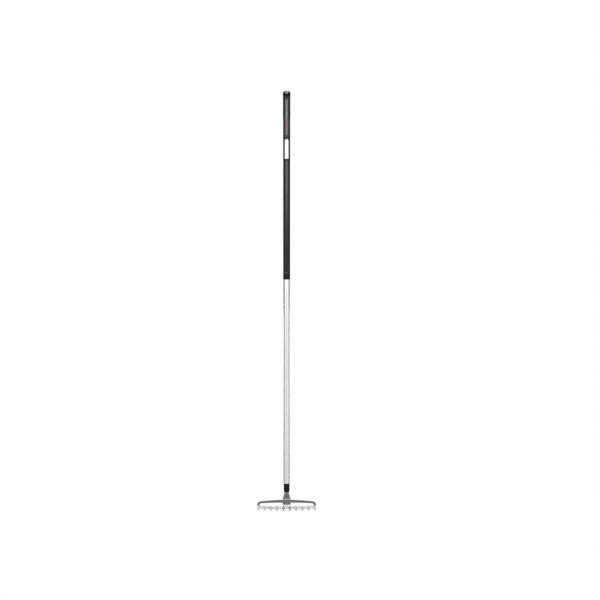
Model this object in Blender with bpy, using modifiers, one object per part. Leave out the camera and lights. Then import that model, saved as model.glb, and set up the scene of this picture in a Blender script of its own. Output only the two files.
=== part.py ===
"""A long handled garden rake at its real size, in metres.

An aluminium shaft carries a black handle at its top and, on a plastic bush, a steel head at its
bottom: a neck, an arched bow and a bar with ten riveted claw tines. X runs along the bar, the tines
point to -Y and +Z runs up the shaft. The origin is the top of the hanging slot, on the shaft's axis."""

import math

import bmesh
import bpy
from mathutils import Vector

# Gap between pieces that touch on the real tool.
FIT = 0.0003

# Shaft tube.
TUBE_RADIUS = 0.0127
TUBE_WALL = 0.0013
TUBE_LENGTH = 1.2612

# Long handle sleeve on the tube, and the ribbed ring that ends it.
SLEEVE_WALL = 0.00065
SLEEVE_LENGTH = 0.438
RING_WALL = 0.0008
RING_LENGTH = 0.0255
RING_RIBS = 4
RING_RIB_DEPTH = 0.0004

# Hanger: the black moulding with the hanging slot, a core for the grip and a spigot for the shaft.
SLOT_WIDTH = 0.0141
SLOT_LENGTH = 0.078
SLOT_CORNER = 0.002
SLOT_FLOOR = 0.008
SLOT_FLARE = 0.0016
SLOT_FLARE_DEPTH = 0.0033
HANGER_PROUD = 0.00015
HANGER_SHOULDER = 0.005
CORE_RADIUS = 0.0098
SPIGOT_LENGTH = 0.07
SPIGOT_LEAD = 0.0015

# Grip: the soft sleeve above the slot, waisted and flared again at its lower lip.
GRIP_LENGTH = 0.162
GRIP_RADIUS = 0.01455
GRIP_WAIST_DEPTH = 0.00065
GRIP_WAIST_LENGTH = 0.0434
GRIP_WAIST_RUN = 0.028
GRIP_LIP_DEPTH = 0.0002
GRIP_LIP_LENGTH = 0.018
GRIP_LIP_RUN = 0.0108
GRIP_EDGE = 0.0012

# End cap, its slanted face and the plain disc set in it.
CAP_PROUD = 0.0003
CAP_HEIGHT = 0.021
CAP_DOME = 0.01
CAP_SLANT = math.radians(52)
CAP_LIP = 0.003
STEM_RADIUS = 0.0045
STEM_LENGTH = 0.026
DISC_RADIUS = 0.0068
DISC_RISE = 0.0031
DISC_THICKNESS = 0.0016
DISC_CROWN = 0.0005

# Bush: closes the tube's lower end and holds the tang.
BUSH_INSERT = 0.06
BUSH_FLANGE_INSET = 0.0009
BUSH_FLANGE_HEIGHT = 0.005
BUSH_FLANGE_STEP = 0.0003
BUSH_SKIRT_LENGTH = 0.028
BUSH_SKIRT_TAPER = 0.0003
BUSH_NOSE = 0.0095

# Cross pins, one under the sleeve and one inside the bush.
PIN_RADIUS = 0.002
HANGER_PIN_INSET = 0.0397
TANG_PIN_INSET = 0.0114

# Neck: a tang, a round shoulder that flares to a flat blade, a strap over the bow, a foot on the bar.
TANG_RADIUS = 0.005
TANG_LENGTH = 0.075
TANG_LEAD = 0.0015
NECK_TOP_RADIUS = 0.0087
NECK_HALF_WIDTH = 0.0155
NECK_FLARE_LENGTH = 0.0254
NECK_FLARE_EASE = 0.95
BLADE_HALF_DEPTH = 0.003
STRAP_DEPTH = 0.003
STRAP_HALF_HEIGHT = 0.01
STRAP_SLOPE = 0.006
STRAP_RISE = 0.0052
STRAP_LEAD = 0.0006
NECK_RELIEF_DEPTH = 0.0014
NECK_RELIEF_LENGTH = 0.0175
NECK_RELIEF_WIDTH = 0.018
NECK_RELIEF_RISE = 0.0025

# Bow, in the face of the head: across it, and deep from front to back.
HEAD_WIDTH = 0.231
BOW_RISE = 0.005
BOW_INNER_RADIUS = 0.0051
BOW_MID_HEIGHT = 0.0122
BOW_END_HEIGHT = 0.0082
BOW_DEPTH = 0.006
ARM_WIDTH = 0.0108
ARM_LENGTH = 0.0039

# The face of the head turns forward below the bow, and the bar lies in its sloping part.
BEND_RADIUS = 0.009
BEND_ANGLE = math.radians(25)
BAR_WIDTH = 0.01
BAR_THICKNESS = 0.0045
BAR_SAG = 0.0035
BAR_CORNER = 0.002
BAR_EDGE = 0.0005

# Tines: a claw on a shank that is riveted through the bar.
TINE_COUNT = 10
TINE_END_WALL = 0.0019
TINE_ROOT_INSET = 0.001
TINE_LENGTH = 0.0565
TINE_CROOK_LENGTH = 0.008
TINE_CROOK_ANGLE = math.radians(2)
TINE_TIP_ANGLE = math.radians(16)
TINE_ROOT_WIDTH = 0.0074
TINE_TIP_WIDTH = 0.0056
TINE_TIP_HEIGHT = 0.0064
TINE_POINT = 0.0012
SHANK_RADIUS = 0.0026
RIVET_HEIGHT = 0.0017
RIVET_CROWN = 70

# Squareness of a section: 2 is an ellipse, and more goes towards a rectangle.
ROUND = 2
BOW_SQUARENESS = 5
TINE_SQUARENESS = 5
BLADE_SQUARENESS = 6
STRAP_SQUARENESS = 8

# Fineness of round shapes.
TURN_STEPS = 36
SMALL_STEPS = 14
ARC_STEPS = 5
EDGE_STEPS = 3
DOME_STEPS = 6
RIB_STEPS = 4
GRIP_STEPS = 12
ARCH_STEPS = 12
CORNER_STEPS = 8
ARM_STEPS = 4
FLARE_STEPS = 7
BEND_STEPS = 4
BAR_STEPS = 14
CROOK_STEPS = 3
CLAW_STEPS = 6
BOW_POINTS = 14
NECK_POINTS = 24
TINE_POINTS = 10
SHARP_ANGLE = math.radians(35)

# Radii and widths that follow from what they fit.
TUBE_BORE_RADIUS = TUBE_RADIUS - TUBE_WALL
SPIGOT_RADIUS = TUBE_BORE_RADIUS - FIT
SLEEVE_BORE_RADIUS = TUBE_RADIUS + FIT
SLEEVE_RADIUS = SLEEVE_BORE_RADIUS + SLEEVE_WALL
HANGER_RADIUS = SLEEVE_RADIUS + HANGER_PROUD
CAP_RADIUS = GRIP_RADIUS + CAP_PROUD
FLANGE_RADIUS = TUBE_RADIUS - BUSH_FLANGE_INSET
SKIRT_RADIUS = FLANGE_RADIUS - BUSH_FLANGE_STEP
SKIRT_LOW_RADIUS = SKIRT_RADIUS - BUSH_SKIRT_TAPER
ARM_CENTRE = (HEAD_WIDTH - ARM_WIDTH) / 2
CORNER_RADIUS = BOW_INNER_RADIUS + ARM_WIDTH / 2
TINE_ROOT_HEIGHT = BAR_WIDTH - 2 * TINE_ROOT_INSET
RIVET_RADIUS = TINE_ROOT_HEIGHT / 2

# Heights up the shaft, from the slot's top at zero.
GRIP_BOTTOM = HANGER_SHOULDER
GRIP_TOP = GRIP_BOTTOM + GRIP_LENGTH
CAP_BOTTOM = GRIP_TOP + FIT
CAP_TOP = CAP_BOTTOM + CAP_HEIGHT
HANGER_FOOT = -SLOT_LENGTH - SLOT_FLOOR
TUBE_TOP = HANGER_FOOT - FIT
TUBE_BOTTOM = TUBE_TOP - TUBE_LENGTH
SLEEVE_BOTTOM = TUBE_TOP - SLEEVE_LENGTH
RING_TOP = SLEEVE_BOTTOM - FIT
BUSH_TOP = TUBE_BOTTOM + BUSH_INSERT
FLANGE_TOP = TUBE_BOTTOM - FIT
SKIRT_TOP = FLANGE_TOP - BUSH_FLANGE_HEIGHT
BUSH_BOTTOM = SKIRT_TOP - BUSH_SKIRT_LENGTH
NECK_TOP = BUSH_BOTTOM - FIT
TANG_TOP = NECK_TOP + TANG_LENGTH
STRAP_TOP = NECK_TOP - NECK_FLARE_LENGTH
BOW_HEIGHT = STRAP_TOP - STRAP_HALF_HEIGHT
BEND_HEIGHT = BOW_HEIGHT - STRAP_HALF_HEIGHT


def material(name, colour, metallic, roughness):
    made = bpy.data.materials.new(name)
    made.use_nodes = True
    shader = made.node_tree.nodes["Principled BSDF"]
    shader.inputs["Base Color"].default_value = (*colour, 1)
    shader.inputs["Metallic"].default_value = metallic
    shader.inputs["Roughness"].default_value = roughness
    return made


def add_object(name, data, finish, collection):
    made = bpy.data.objects.new(name, data)
    collection.objects.link(made)
    if finish:
        made.data.materials.append(finish)
    return made


def bake(made):
    """Turns an object's modifiers into plain mesh, shaded smooth up to its hard edges."""
    graph = bpy.context.evaluated_depsgraph_get()
    mesh = bpy.data.meshes.new_from_object(made.evaluated_get(graph))
    made.modifiers.clear()
    made.data = mesh
    mesh.name = made.name
    mesh.shade_smooth()
    mesh.set_sharp_from_angle(angle=SHARP_ANGLE)
    return made


def turned(name, profile, finish, collection, closed=False, steps=TURN_STEPS):
    """A profile of (radius, height) points, down the outer side, turned about Z.

    A closed profile leaves a bore. An open one starts and ends on the axis."""
    mesh = bpy.data.meshes.new(name)
    edges = [(i, i + 1) for i in range(len(profile) - 1)]
    if closed:
        edges.append((len(profile) - 1, 0))
    mesh.from_pydata([(radius, 0, height) for radius, height in profile], edges, [])
    made = add_object(name, mesh, finish, collection)
    screw = made.modifiers.new("Turn", "SCREW")
    screw.steps = steps
    screw.render_steps = steps
    screw.use_merge_vertices = True
    screw.merge_threshold = 0.00001
    return bake(made)


def arc(centre_x, centre_y, radius, start, end, steps=ARC_STEPS):
    """Points round a centre, from the start angle to the end angle in degrees."""
    points = []
    for i in range(steps + 1):
        angle = math.radians(start + (end - start) * i / steps)
        points.append((centre_x + radius * math.cos(angle), centre_y + radius * math.sin(angle)))
    return points


def flat_plate(name, outlines, thickness, finish, collection):
    """A plate in its own XY plane, centred on it: the first outline is its edge, and the rest are holes."""
    curve = bpy.data.curves.new(name, "CURVE")
    curve.dimensions = "2D"
    curve.fill_mode = "BOTH"
    curve.extrude = thickness / 2
    for outline in outlines:
        spline = curve.splines.new("POLY")
        spline.points.add(len(outline) - 1)
        for point, (x, y) in zip(spline.points, outline):
            point.co = (x, y, 0, 1)
        spline.use_cyclic_u = True
    source = bpy.data.objects.new(name, curve)
    collection.objects.link(source)
    graph = bpy.context.evaluated_depsgraph_get()
    mesh = bpy.data.meshes.new_from_object(source.evaluated_get(graph))
    bpy.data.objects.remove(source)
    shape = bmesh.new()
    shape.from_mesh(mesh)
    bmesh.ops.remove_doubles(shape, verts=shape.verts, dist=0.00001)
    bmesh.ops.recalc_face_normals(shape, faces=shape.faces)
    shape.to_mesh(mesh)
    shape.free()
    return add_object(name, mesh, finish, collection)


def section(half_width, half_height, squareness, points):
    """An outline from an ellipse at squareness 2 towards a rectangle, as (across, up) pairs."""
    outline = []
    for i in range(points):
        angle = 2 * math.pi * (i + 0.5) / points
        across = math.copysign(abs(math.cos(angle)) ** (2 / squareness), math.cos(angle))
        up = math.copysign(abs(math.sin(angle)) ** (2 / squareness), math.sin(angle))
        outline.append((half_width * across, half_height * up))
    return outline


def loft(name, rings, finish, collection):
    """A skin over rings of equally many points, closed by a face at each end."""
    shape = bmesh.new()
    skin = [[shape.verts.new(point) for point in ring] for ring in rings]
    for ring, following in zip(skin, skin[1:]):
        for i in range(len(ring)):
            j = (i + 1) % len(ring)
            shape.faces.new((ring[i], ring[j], following[j], following[i]))
    shape.faces.new(skin[0])
    shape.faces.new(skin[-1])
    bmesh.ops.recalc_face_normals(shape, faces=shape.faces)
    mesh = bpy.data.meshes.new(name)
    shape.to_mesh(mesh)
    shape.free()
    mesh.shade_smooth()
    mesh.set_sharp_from_angle(angle=SHARP_ANGLE)
    return add_object(name, mesh, finish, collection)


def as_cutter(made):
    made.hide_render = True
    made.display_type = "WIRE"
    return made


def cut(made, cutter):
    boolean = made.modifiers.new("Cut " + cutter.name, "BOOLEAN")
    boolean.operation = "DIFFERENCE"
    boolean.object = cutter


def break_edges(made, width):
    bevel = made.modifiers.new("Edges", "BEVEL")
    bevel.width = width
    bevel.segments = 1
    bevel.limit_method = "ANGLE"
    bevel.angle_limit = SHARP_ANGLE


def cross_pin(name, radius, half_length, height, finish, collection):
    """A pin across the shaft along X."""
    profile = [(0, half_length), (radius, half_length), (radius, -half_length), (0, -half_length)]
    made = turned(name, profile, finish, collection, steps=SMALL_STEPS)
    made.rotation_euler.y = math.pi / 2
    made.location.z = height
    return made


def make_hanger(finish, parts, cutters):
    profile = [
        (0, GRIP_TOP - STEM_LENGTH - FIT),
        (STEM_RADIUS + FIT, GRIP_TOP - STEM_LENGTH - FIT),
        (STEM_RADIUS + FIT, GRIP_TOP),
        (CORE_RADIUS, GRIP_TOP),
        (CORE_RADIUS, HANGER_SHOULDER - FIT),
        (HANGER_RADIUS, HANGER_SHOULDER - FIT),
        (HANGER_RADIUS, HANGER_FOOT),
        (SPIGOT_RADIUS, HANGER_FOOT),
        (SPIGOT_RADIUS, HANGER_FOOT - SPIGOT_LENGTH + SPIGOT_LEAD),
        (SPIGOT_RADIUS - SPIGOT_LEAD, HANGER_FOOT - SPIGOT_LENGTH),
        (0, HANGER_FOOT - SPIGOT_LENGTH),
    ]
    hanger = turned("hanger", profile, finish, parts)
    half = SLOT_WIDTH / 2
    low = -SLOT_LENGTH + SLOT_CORNER

    def slot_ring(forward, grow):
        outline = arc(0, -half, half + grow, 0, 180, 2 * ARC_STEPS)
        outline += arc(-half + SLOT_CORNER, low, SLOT_CORNER + grow, 180, 270)
        outline += arc(half - SLOT_CORNER, low, SLOT_CORNER + grow, 270, 360)
        return [Vector((x, -forward, z)) for x, z in outline]

    throat = HANGER_RADIUS - SLOT_FLARE_DEPTH
    mouth = HANGER_RADIUS + SLOT_FLARE_DEPTH
    rings = [slot_ring(-mouth, 2 * SLOT_FLARE), slot_ring(-throat, 0)]
    rings += [slot_ring(throat, 0), slot_ring(mouth, 2 * SLOT_FLARE)]
    slot = loft("slot_cutter", rings, None, cutters)
    cut(hanger, as_cutter(slot))
    return hanger


def grip_radius(height):
    """The grip's outer radius: full above, drawn in to the waist, then out again to the lip."""

    def ease(t):
        t = min(max(t, 0), 1)
        return t * t * (3 - 2 * t)

    above_lip = height - GRIP_BOTTOM - GRIP_LIP_LENGTH
    into_waist = ease(1 - (above_lip - GRIP_WAIST_LENGTH) / GRIP_WAIST_RUN)
    out_to_lip = ease(-above_lip / GRIP_LIP_RUN)
    return GRIP_RADIUS - GRIP_WAIST_DEPTH * into_waist + (GRIP_WAIST_DEPTH - GRIP_LIP_DEPTH) * out_to_lip


def make_grip(finish, parts):
    outer = []
    for x, y in arc(0, GRIP_TOP - GRIP_EDGE, GRIP_EDGE, 90, 0, EDGE_STEPS):
        outer.append((GRIP_RADIUS - GRIP_EDGE + x, y))
    for i in range(1, GRIP_STEPS):
        height = GRIP_TOP - GRIP_EDGE - (GRIP_LENGTH - 2 * GRIP_EDGE) * i / GRIP_STEPS
        outer.append((grip_radius(height), height))
    for x, y in arc(0, GRIP_BOTTOM + GRIP_EDGE, GRIP_EDGE, 0, -90, EDGE_STEPS):
        outer.append((GRIP_RADIUS - GRIP_LIP_DEPTH - GRIP_EDGE + x, y))
    bore = [(CORE_RADIUS + FIT, GRIP_BOTTOM), (CORE_RADIUS + FIT, GRIP_TOP)]
    return turned("upper_grip", outer + bore, finish, parts, closed=True)


def slant_place(rise=0):
    """The middle of the cap's slanted face, or a point up the face from there."""
    low = CAP_BOTTOM + CAP_LIP
    run = (CAP_TOP - low) / math.tan(CAP_SLANT)
    middle = Vector((0, -CAP_RADIUS + run / 2, (low + CAP_TOP) / 2))
    return middle + rise * Vector((0, math.cos(CAP_SLANT), math.sin(CAP_SLANT)))


def make_cap(finish, parts, cutters):
    stem_end = CAP_BOTTOM - STEM_LENGTH
    profile = [(0, CAP_TOP)]
    for x, y in arc(0, 0, 1, 90, 0, DOME_STEPS)[1:]:
        profile.append((CAP_RADIUS * x, CAP_TOP - CAP_DOME * (1 - y)))
    profile += [(CAP_RADIUS, CAP_BOTTOM), (STEM_RADIUS, CAP_BOTTOM), (STEM_RADIUS, stem_end), (0, stem_end)]
    cap = turned("end_cap", profile, finish, parts)
    size = 2 * (CAP_RADIUS + CAP_HEIGHT)
    bpy.ops.mesh.primitive_cube_add(size=size)
    slab = bpy.context.object
    slab.name = "slant_cutter"
    for owner in slab.users_collection:
        owner.objects.unlink(slab)
    cutters.objects.link(slab)
    slab.rotation_euler.x = CAP_SLANT
    away = Vector((0, -math.sin(CAP_SLANT), math.cos(CAP_SLANT)))
    slab.location = slant_place() + away * size / 2
    cut(cap, as_cutter(slab))
    seat = DISC_RADIUS + FIT
    depth = DISC_THICKNESS + FIT
    pocket_profile = [(0, depth), (seat, depth), (seat, -depth), (0, -depth)]
    pocket = turned("disc_pocket_cutter", pocket_profile, None, cutters)
    pocket.rotation_euler.x = CAP_SLANT
    pocket.location = slant_place(DISC_RISE)
    cut(cap, as_cutter(pocket))
    return cap


def make_disc(finish, parts):
    profile = []
    for i in range(EDGE_STEPS + 1):
        share = i / EDGE_STEPS
        profile.append((DISC_RADIUS * share, DISC_CROWN * (1 - share * share)))
    profile += [(DISC_RADIUS, -DISC_THICKNESS), (0, -DISC_THICKNESS)]
    disc = turned("cap_disc", profile, finish, parts)
    disc.rotation_euler.x = CAP_SLANT
    disc.location = slant_place(DISC_RISE)
    return disc


def pipe(name, outer, inner, top, bottom, finish, parts):
    profile = [(outer, top), (outer, bottom), (inner, bottom), (inner, top)]
    return turned(name, profile, finish, parts, closed=True)


def make_end_ring(finish, parts):
    """A ring with round ribs, whose last rib rounds off its lower end."""
    radius = SLEEVE_BORE_RADIUS + RING_WALL
    profile = []
    for i in range(RING_RIBS * RIB_STEPS + 1):
        height = RING_TOP - RING_LENGTH * i / (RING_RIBS * RIB_STEPS)
        swell = abs(math.sin(math.pi * i / RIB_STEPS))
        profile.append((radius + RING_RIB_DEPTH * (swell - 1), height))
    profile += [(SLEEVE_BORE_RADIUS, RING_TOP - RING_LENGTH), (SLEEVE_BORE_RADIUS, RING_TOP)]
    return turned("sleeve_end_ring", profile, finish, parts, closed=True)


def make_bush(finish, parts):
    bore = TANG_RADIUS + FIT
    profile = [
        (SPIGOT_RADIUS - SPIGOT_LEAD, BUSH_TOP),
        (SPIGOT_RADIUS, BUSH_TOP - SPIGOT_LEAD),
        (SPIGOT_RADIUS, FLANGE_TOP),
        (FLANGE_RADIUS, FLANGE_TOP),
        (FLANGE_RADIUS, SKIRT_TOP),
        (SKIRT_RADIUS, SKIRT_TOP - BUSH_FLANGE_STEP),
    ]
    nose_depth = SKIRT_LOW_RADIUS - NECK_TOP_RADIUS
    for x, y in arc(0, 0, 1, 0, -90):
        profile.append((NECK_TOP_RADIUS + nose_depth * x, BUSH_BOTTOM + BUSH_NOSE * (1 + y)))
    profile += [(bore, BUSH_BOTTOM), (bore, BUSH_TOP)]
    return turned("tang_bush", profile, finish, parts, closed=True)


def on_head(across, down, out):
    """A point of the head: across it, down its face from the bend, and out of the face to the front.

    Above the bend the face is upright. It then turns forward round the bend and runs on straight."""
    angle = min(max(down / BEND_RADIUS, 0), BEND_ANGLE)
    past = down - BEND_RADIUS * angle
    forward = BEND_RADIUS * (1 - math.cos(angle)) + past * math.sin(angle) + out * math.cos(angle)
    drop = BEND_RADIUS * math.sin(angle) + past * math.cos(angle) - out * math.sin(angle)
    return Vector((across, -forward, BEND_HEIGHT - drop))


def bar_lift(across):
    """How far the bar's centre line has risen, at this distance from its middle."""
    half = HEAD_WIDTH / 2
    radius = (half * half + BAR_SAG * BAR_SAG) / (2 * BAR_SAG)
    return radius - math.sqrt(radius * radius - across * across)


def bar_drop():
    """How far down the head's face the middle of the bar lies, so that the arms just reach its edge."""
    arm_top = bow_path()[-1][1]
    return arm_top + ARM_LENGTH + FIT + BAR_WIDTH / 2 + bar_lift(ARM_CENTRE)


def bar_seat(across):
    """How far down the head's face a piece may reach that stands on the bar's upper edge here."""
    return bar_drop() - bar_lift(across) - BAR_WIDTH / 2 - FIT


def bow_path():
    """The bow's centre line from the middle to the top of one arm, as (across, down, heading, height).

    It arches gently and then turns round the corner."""
    run = ARM_CENTRE
    arch_radius = (run * run + BOW_RISE * BOW_RISE) / (2 * BOW_RISE)
    turn = math.asin((run - CORNER_RADIUS) / (arch_radius - CORNER_RADIUS))
    start = -STRAP_HALF_HEIGHT
    path = []
    for i in range(ARCH_STEPS + 1):
        heading = turn * i / ARCH_STEPS
        height = BOW_MID_HEIGHT + (BOW_END_HEIGHT - BOW_MID_HEIGHT) * i / ARCH_STEPS
        across = arch_radius * math.sin(heading)
        path.append((across, start + arch_radius * (1 - math.cos(heading)), heading, height))
    corner_x = path[-1][0] - CORNER_RADIUS * math.sin(turn)
    corner_down = path[-1][1] + CORNER_RADIUS * math.cos(turn)
    for i in range(1, CORNER_STEPS + 1):
        heading = turn + (math.pi / 2 - turn) * i / CORNER_STEPS
        height = BOW_END_HEIGHT + (ARM_WIDTH - BOW_END_HEIGHT) * i / CORNER_STEPS
        across = corner_x + CORNER_RADIUS * math.sin(heading)
        path.append((across, corner_down - CORNER_RADIUS * math.cos(heading), heading, height))
    return path


def bow_ring(stop, side, outline):
    """A ring of the outline's (up, out) pairs, square to the bow at one stop, on side 1 or -1."""
    across, down, heading, height = stop
    ring = []
    for up, out in outline:
        x = across + up * math.sin(heading)
        ring.append(on_head(side * x, down - up * math.cos(heading), out))
    return ring


def bow_section(stop):
    return section(stop[3] / 2, BOW_DEPTH / 2, BOW_SQUARENESS, BOW_POINTS)


def arm_rings(side, top):
    """Rings down an arm from its top, the last of them cut to the arc of the bar's upper edge."""
    rings = []
    for i in range(1, ARM_STEPS + 1):
        ring = []
        for up, out in section(ARM_WIDTH / 2, BOW_DEPTH / 2, BOW_SQUARENESS, BOW_POINTS):
            x = ARM_CENTRE + up
            ring.append(on_head(side * x, top + (bar_seat(x) - top) * i / ARM_STEPS, out))
        rings.append(ring)
    return rings


def make_bow(finish, parts):
    path = bow_path()
    top = path[-1][1]
    rings = arm_rings(-1, top)[::-1]
    rings += [bow_ring(stop, -1, bow_section(stop)) for stop in reversed(path[1:])]
    rings += [bow_ring(stop, 1, bow_section(stop)) for stop in path]
    rings += arm_rings(1, top)
    return loft("bow", rings, finish, parts)


def neck_rings():
    """Rings down the neck: tang, shoulder, flare, strap over the bow and foot on the bar."""
    rings = []

    def ring(down, half_width, front, back, squareness):
        middle = (front + back) / 2
        outline = section(half_width, (front - back) / 2, squareness, NECK_POINTS)
        rings.append([on_head(across, down, middle + out) for across, out in outline])

    top = BEND_HEIGHT - NECK_TOP
    strap_top = BEND_HEIGHT - STRAP_TOP
    blade = BLADE_HALF_DEPTH
    strap = BOW_DEPTH / 2 + STRAP_DEPTH
    tip_radius = TANG_RADIUS - TANG_LEAD
    ring(top - TANG_LENGTH, tip_radius, tip_radius, -tip_radius, ROUND)
    ring(top - TANG_LENGTH + TANG_LEAD, TANG_RADIUS, TANG_RADIUS, -TANG_RADIUS, ROUND)
    ring(top, TANG_RADIUS, TANG_RADIUS, -TANG_RADIUS, ROUND)
    for i in range(FLARE_STEPS + 1):
        t = i / FLARE_STEPS
        spread = t ** NECK_FLARE_EASE
        half_width = NECK_TOP_RADIUS + (NECK_HALF_WIDTH - NECK_TOP_RADIUS) * spread
        depth = NECK_TOP_RADIUS + (blade - NECK_TOP_RADIUS) * (3 * t * t - 2 * t * t * t)
        ring(top + (strap_top - top) * t, half_width, depth, -depth, ROUND + (BLADE_SQUARENESS - ROUND) * t)
    ring(strap_top + STRAP_LEAD, NECK_HALF_WIDTH, blade + STRAP_LEAD, -blade, STRAP_SQUARENESS)
    ring(strap_top + STRAP_RISE, NECK_HALF_WIDTH, strap, -blade, STRAP_SQUARENESS)
    ring(-STRAP_SLOPE, NECK_HALF_WIDTH, strap, -blade, STRAP_SQUARENESS)
    ring(0, NECK_HALF_WIDTH, blade, -blade, BLADE_SQUARENESS)
    bend_end = BEND_RADIUS * BEND_ANGLE
    half_foot = BAR_THICKNESS / 2
    for i in range(1, BEND_STEPS + 1):
        depth = blade + (half_foot - blade) * i / BEND_STEPS
        ring(bend_end * i / BEND_STEPS, NECK_HALF_WIDTH, depth, -depth, BLADE_SQUARENESS)
    ring(bar_seat(NECK_HALF_WIDTH), NECK_HALF_WIDTH, half_foot, -half_foot, BLADE_SQUARENESS)
    return rings


def make_neck(finish, parts, cutters):
    neck = loft("neck", neck_rings(), finish, parts)
    front = BOW_DEPTH / 2 + FIT
    back = -front - NECK_TOP_RADIUS

    def channel_ring(stop, side):
        half = stop[3] / 2 + FIT
        return bow_ring(stop, side, [(half, front), (half, back), (-half, back), (-half, front)])

    arch = bow_path()[:ARCH_STEPS + 1]
    rings = [channel_ring(stop, -1) for stop in reversed(arch[1:])]
    rings += [channel_ring(stop, 1) for stop in arch]
    channel = loft("bow_channel_cutter", rings, None, cutters)
    cut(neck, as_cutter(channel))
    low = STRAP_TOP + NECK_RELIEF_RISE
    half = NECK_RELIEF_WIDTH / 2
    outline = [(-half, low), (half, low), (0, low + NECK_RELIEF_LENGTH)]
    ahead = 2 * NECK_TOP_RADIUS
    relief = flat_plate("neck_relief_cutter", [outline], ahead, None, cutters)
    relief.rotation_euler.x = math.pi / 2
    relief.location.y = NECK_RELIEF_DEPTH - BLADE_HALF_DEPTH - ahead / 2
    cut(neck, as_cutter(relief))
    return neck


def bar_outline():
    """The edge of the bar, a strip along an arc with small round corners."""
    half = HEAD_WIDTH / 2
    inner = half - BAR_CORNER
    upper = BAR_WIDTH / 2
    low_corner = bar_lift(half) - upper + BAR_CORNER
    high_corner = bar_lift(half) + upper - BAR_CORNER
    points = []
    for i in range(1, BAR_STEPS):
        x = -inner + 2 * inner * i / BAR_STEPS
        points.append((x, bar_lift(x) - upper))
    points += arc(inner, low_corner, BAR_CORNER, -90, 0, EDGE_STEPS)
    points += arc(inner, high_corner, BAR_CORNER, 0, 90, EDGE_STEPS)
    for i in range(1, BAR_STEPS):
        x = inner - 2 * inner * i / BAR_STEPS
        points.append((x, bar_lift(x) + upper))
    points += arc(-inner, high_corner, BAR_CORNER, 90, 180, EDGE_STEPS)
    points += arc(-inner, low_corner, BAR_CORNER, 180, 270, EDGE_STEPS)
    return points


def tine_places():
    """The tines' places along the bar, evenly from end to end, with a wall left beyond the last holes."""
    last = HEAD_WIDTH / 2 - TINE_END_WALL - FIT - SHANK_RADIUS
    return [last * (2 * i / (TINE_COUNT - 1) - 1) for i in range(TINE_COUNT)]


def make_bar(finish, parts):
    holes = []
    for x in tine_places():
        hole = arc(x, bar_lift(x), SHANK_RADIUS + FIT, 0, -360, SMALL_STEPS)
        holes.append(hole[:-1])
    bar = flat_plate("tine_bar", [bar_outline()] + holes, BAR_THICKNESS, finish, parts)
    bar.rotation_euler.x = math.pi / 2 - BEND_ANGLE
    bar.location = on_head(0, bar_drop(), 0)
    break_edges(bar, BAR_EDGE)
    return bake(bar)


def tine_stops():
    """Stops along a claw's axis, from its root to its tip, as (y, z, angle, share of the way along).

    It leaves the bar square, turns over in a short crook and then curves gently down. A positive
    angle rises. The axis is walked in short chords."""
    stops = [(0, 0, BEND_ANGLE, 0)]
    runs = [(TINE_CROOK_LENGTH, BEND_ANGLE, -TINE_CROOK_ANGLE, CROOK_STEPS)]
    runs += [(TINE_LENGTH - TINE_CROOK_LENGTH, -TINE_CROOK_ANGLE, -TINE_TIP_ANGLE, CLAW_STEPS)]
    y, z, along = 0, 0, 0
    for length, start, end, steps in runs:
        for i in range(steps):
            heading = start + (end - start) * (i + 0.5) / steps
            y -= length / steps * math.cos(heading)
            z += length / steps * math.sin(heading)
            along += length / steps
            stops.append((y, z, start + (end - start) * (i + 1) / steps, along / TINE_LENGTH))
    return stops


def tine_rings():
    """Rings along a tine from the rivet head, through the bar, to the blunt point of the claw.

    Its origin is where its axis meets the bar's front face, and X runs along the bar."""
    rings = []

    def ring(stop, ahead, half_width, half_height, squareness):
        """One ring square to the axis at this stop, moved ahead along it."""
        y, z, angle, _ = stop
        y -= ahead * math.cos(angle)
        z += ahead * math.sin(angle)
        points = []
        for across, up in section(half_width, half_height, squareness, TINE_POINTS):
            points.append(Vector((across, y + up * math.sin(angle), z + up * math.cos(angle))))
        rings.append(points)

    stops = tine_stops()
    through = -BAR_THICKNESS - 2 * FIT
    for x, y in arc(0, 0, 1, RIVET_CROWN, 0, EDGE_STEPS):
        size = RIVET_RADIUS * x
        ring(stops[0], through - RIVET_HEIGHT * y, size, size, ROUND)
    ring(stops[0], through, SHANK_RADIUS, SHANK_RADIUS, ROUND)
    ring(stops[0], 0, SHANK_RADIUS, SHANK_RADIUS, ROUND)
    for stop in stops:
        half_width = (TINE_ROOT_WIDTH + (TINE_TIP_WIDTH - TINE_ROOT_WIDTH) * stop[3]) / 2
        half_height = (TINE_ROOT_HEIGHT + (TINE_TIP_HEIGHT - TINE_ROOT_HEIGHT) * stop[3]) / 2
        ring(stop, 0, half_width, half_height, TINE_SQUARENESS)
    half_width = (TINE_TIP_WIDTH - TINE_POINT) / 2
    half_height = (TINE_TIP_HEIGHT - TINE_POINT) / 2
    ring(stops[-1], TINE_POINT, half_width, half_height, TINE_SQUARENESS)
    return rings


def make_tines(finish, parts):
    tines = []
    rings = tine_rings()
    for number, x in enumerate(tine_places(), 1):
        tine = loft(f"tine_{number:02d}", rings, finish, parts)
        tine.location = on_head(x, bar_drop() - bar_lift(x), BAR_THICKNESS / 2 + FIT)
        tines.append(tine)
    return tines


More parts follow.
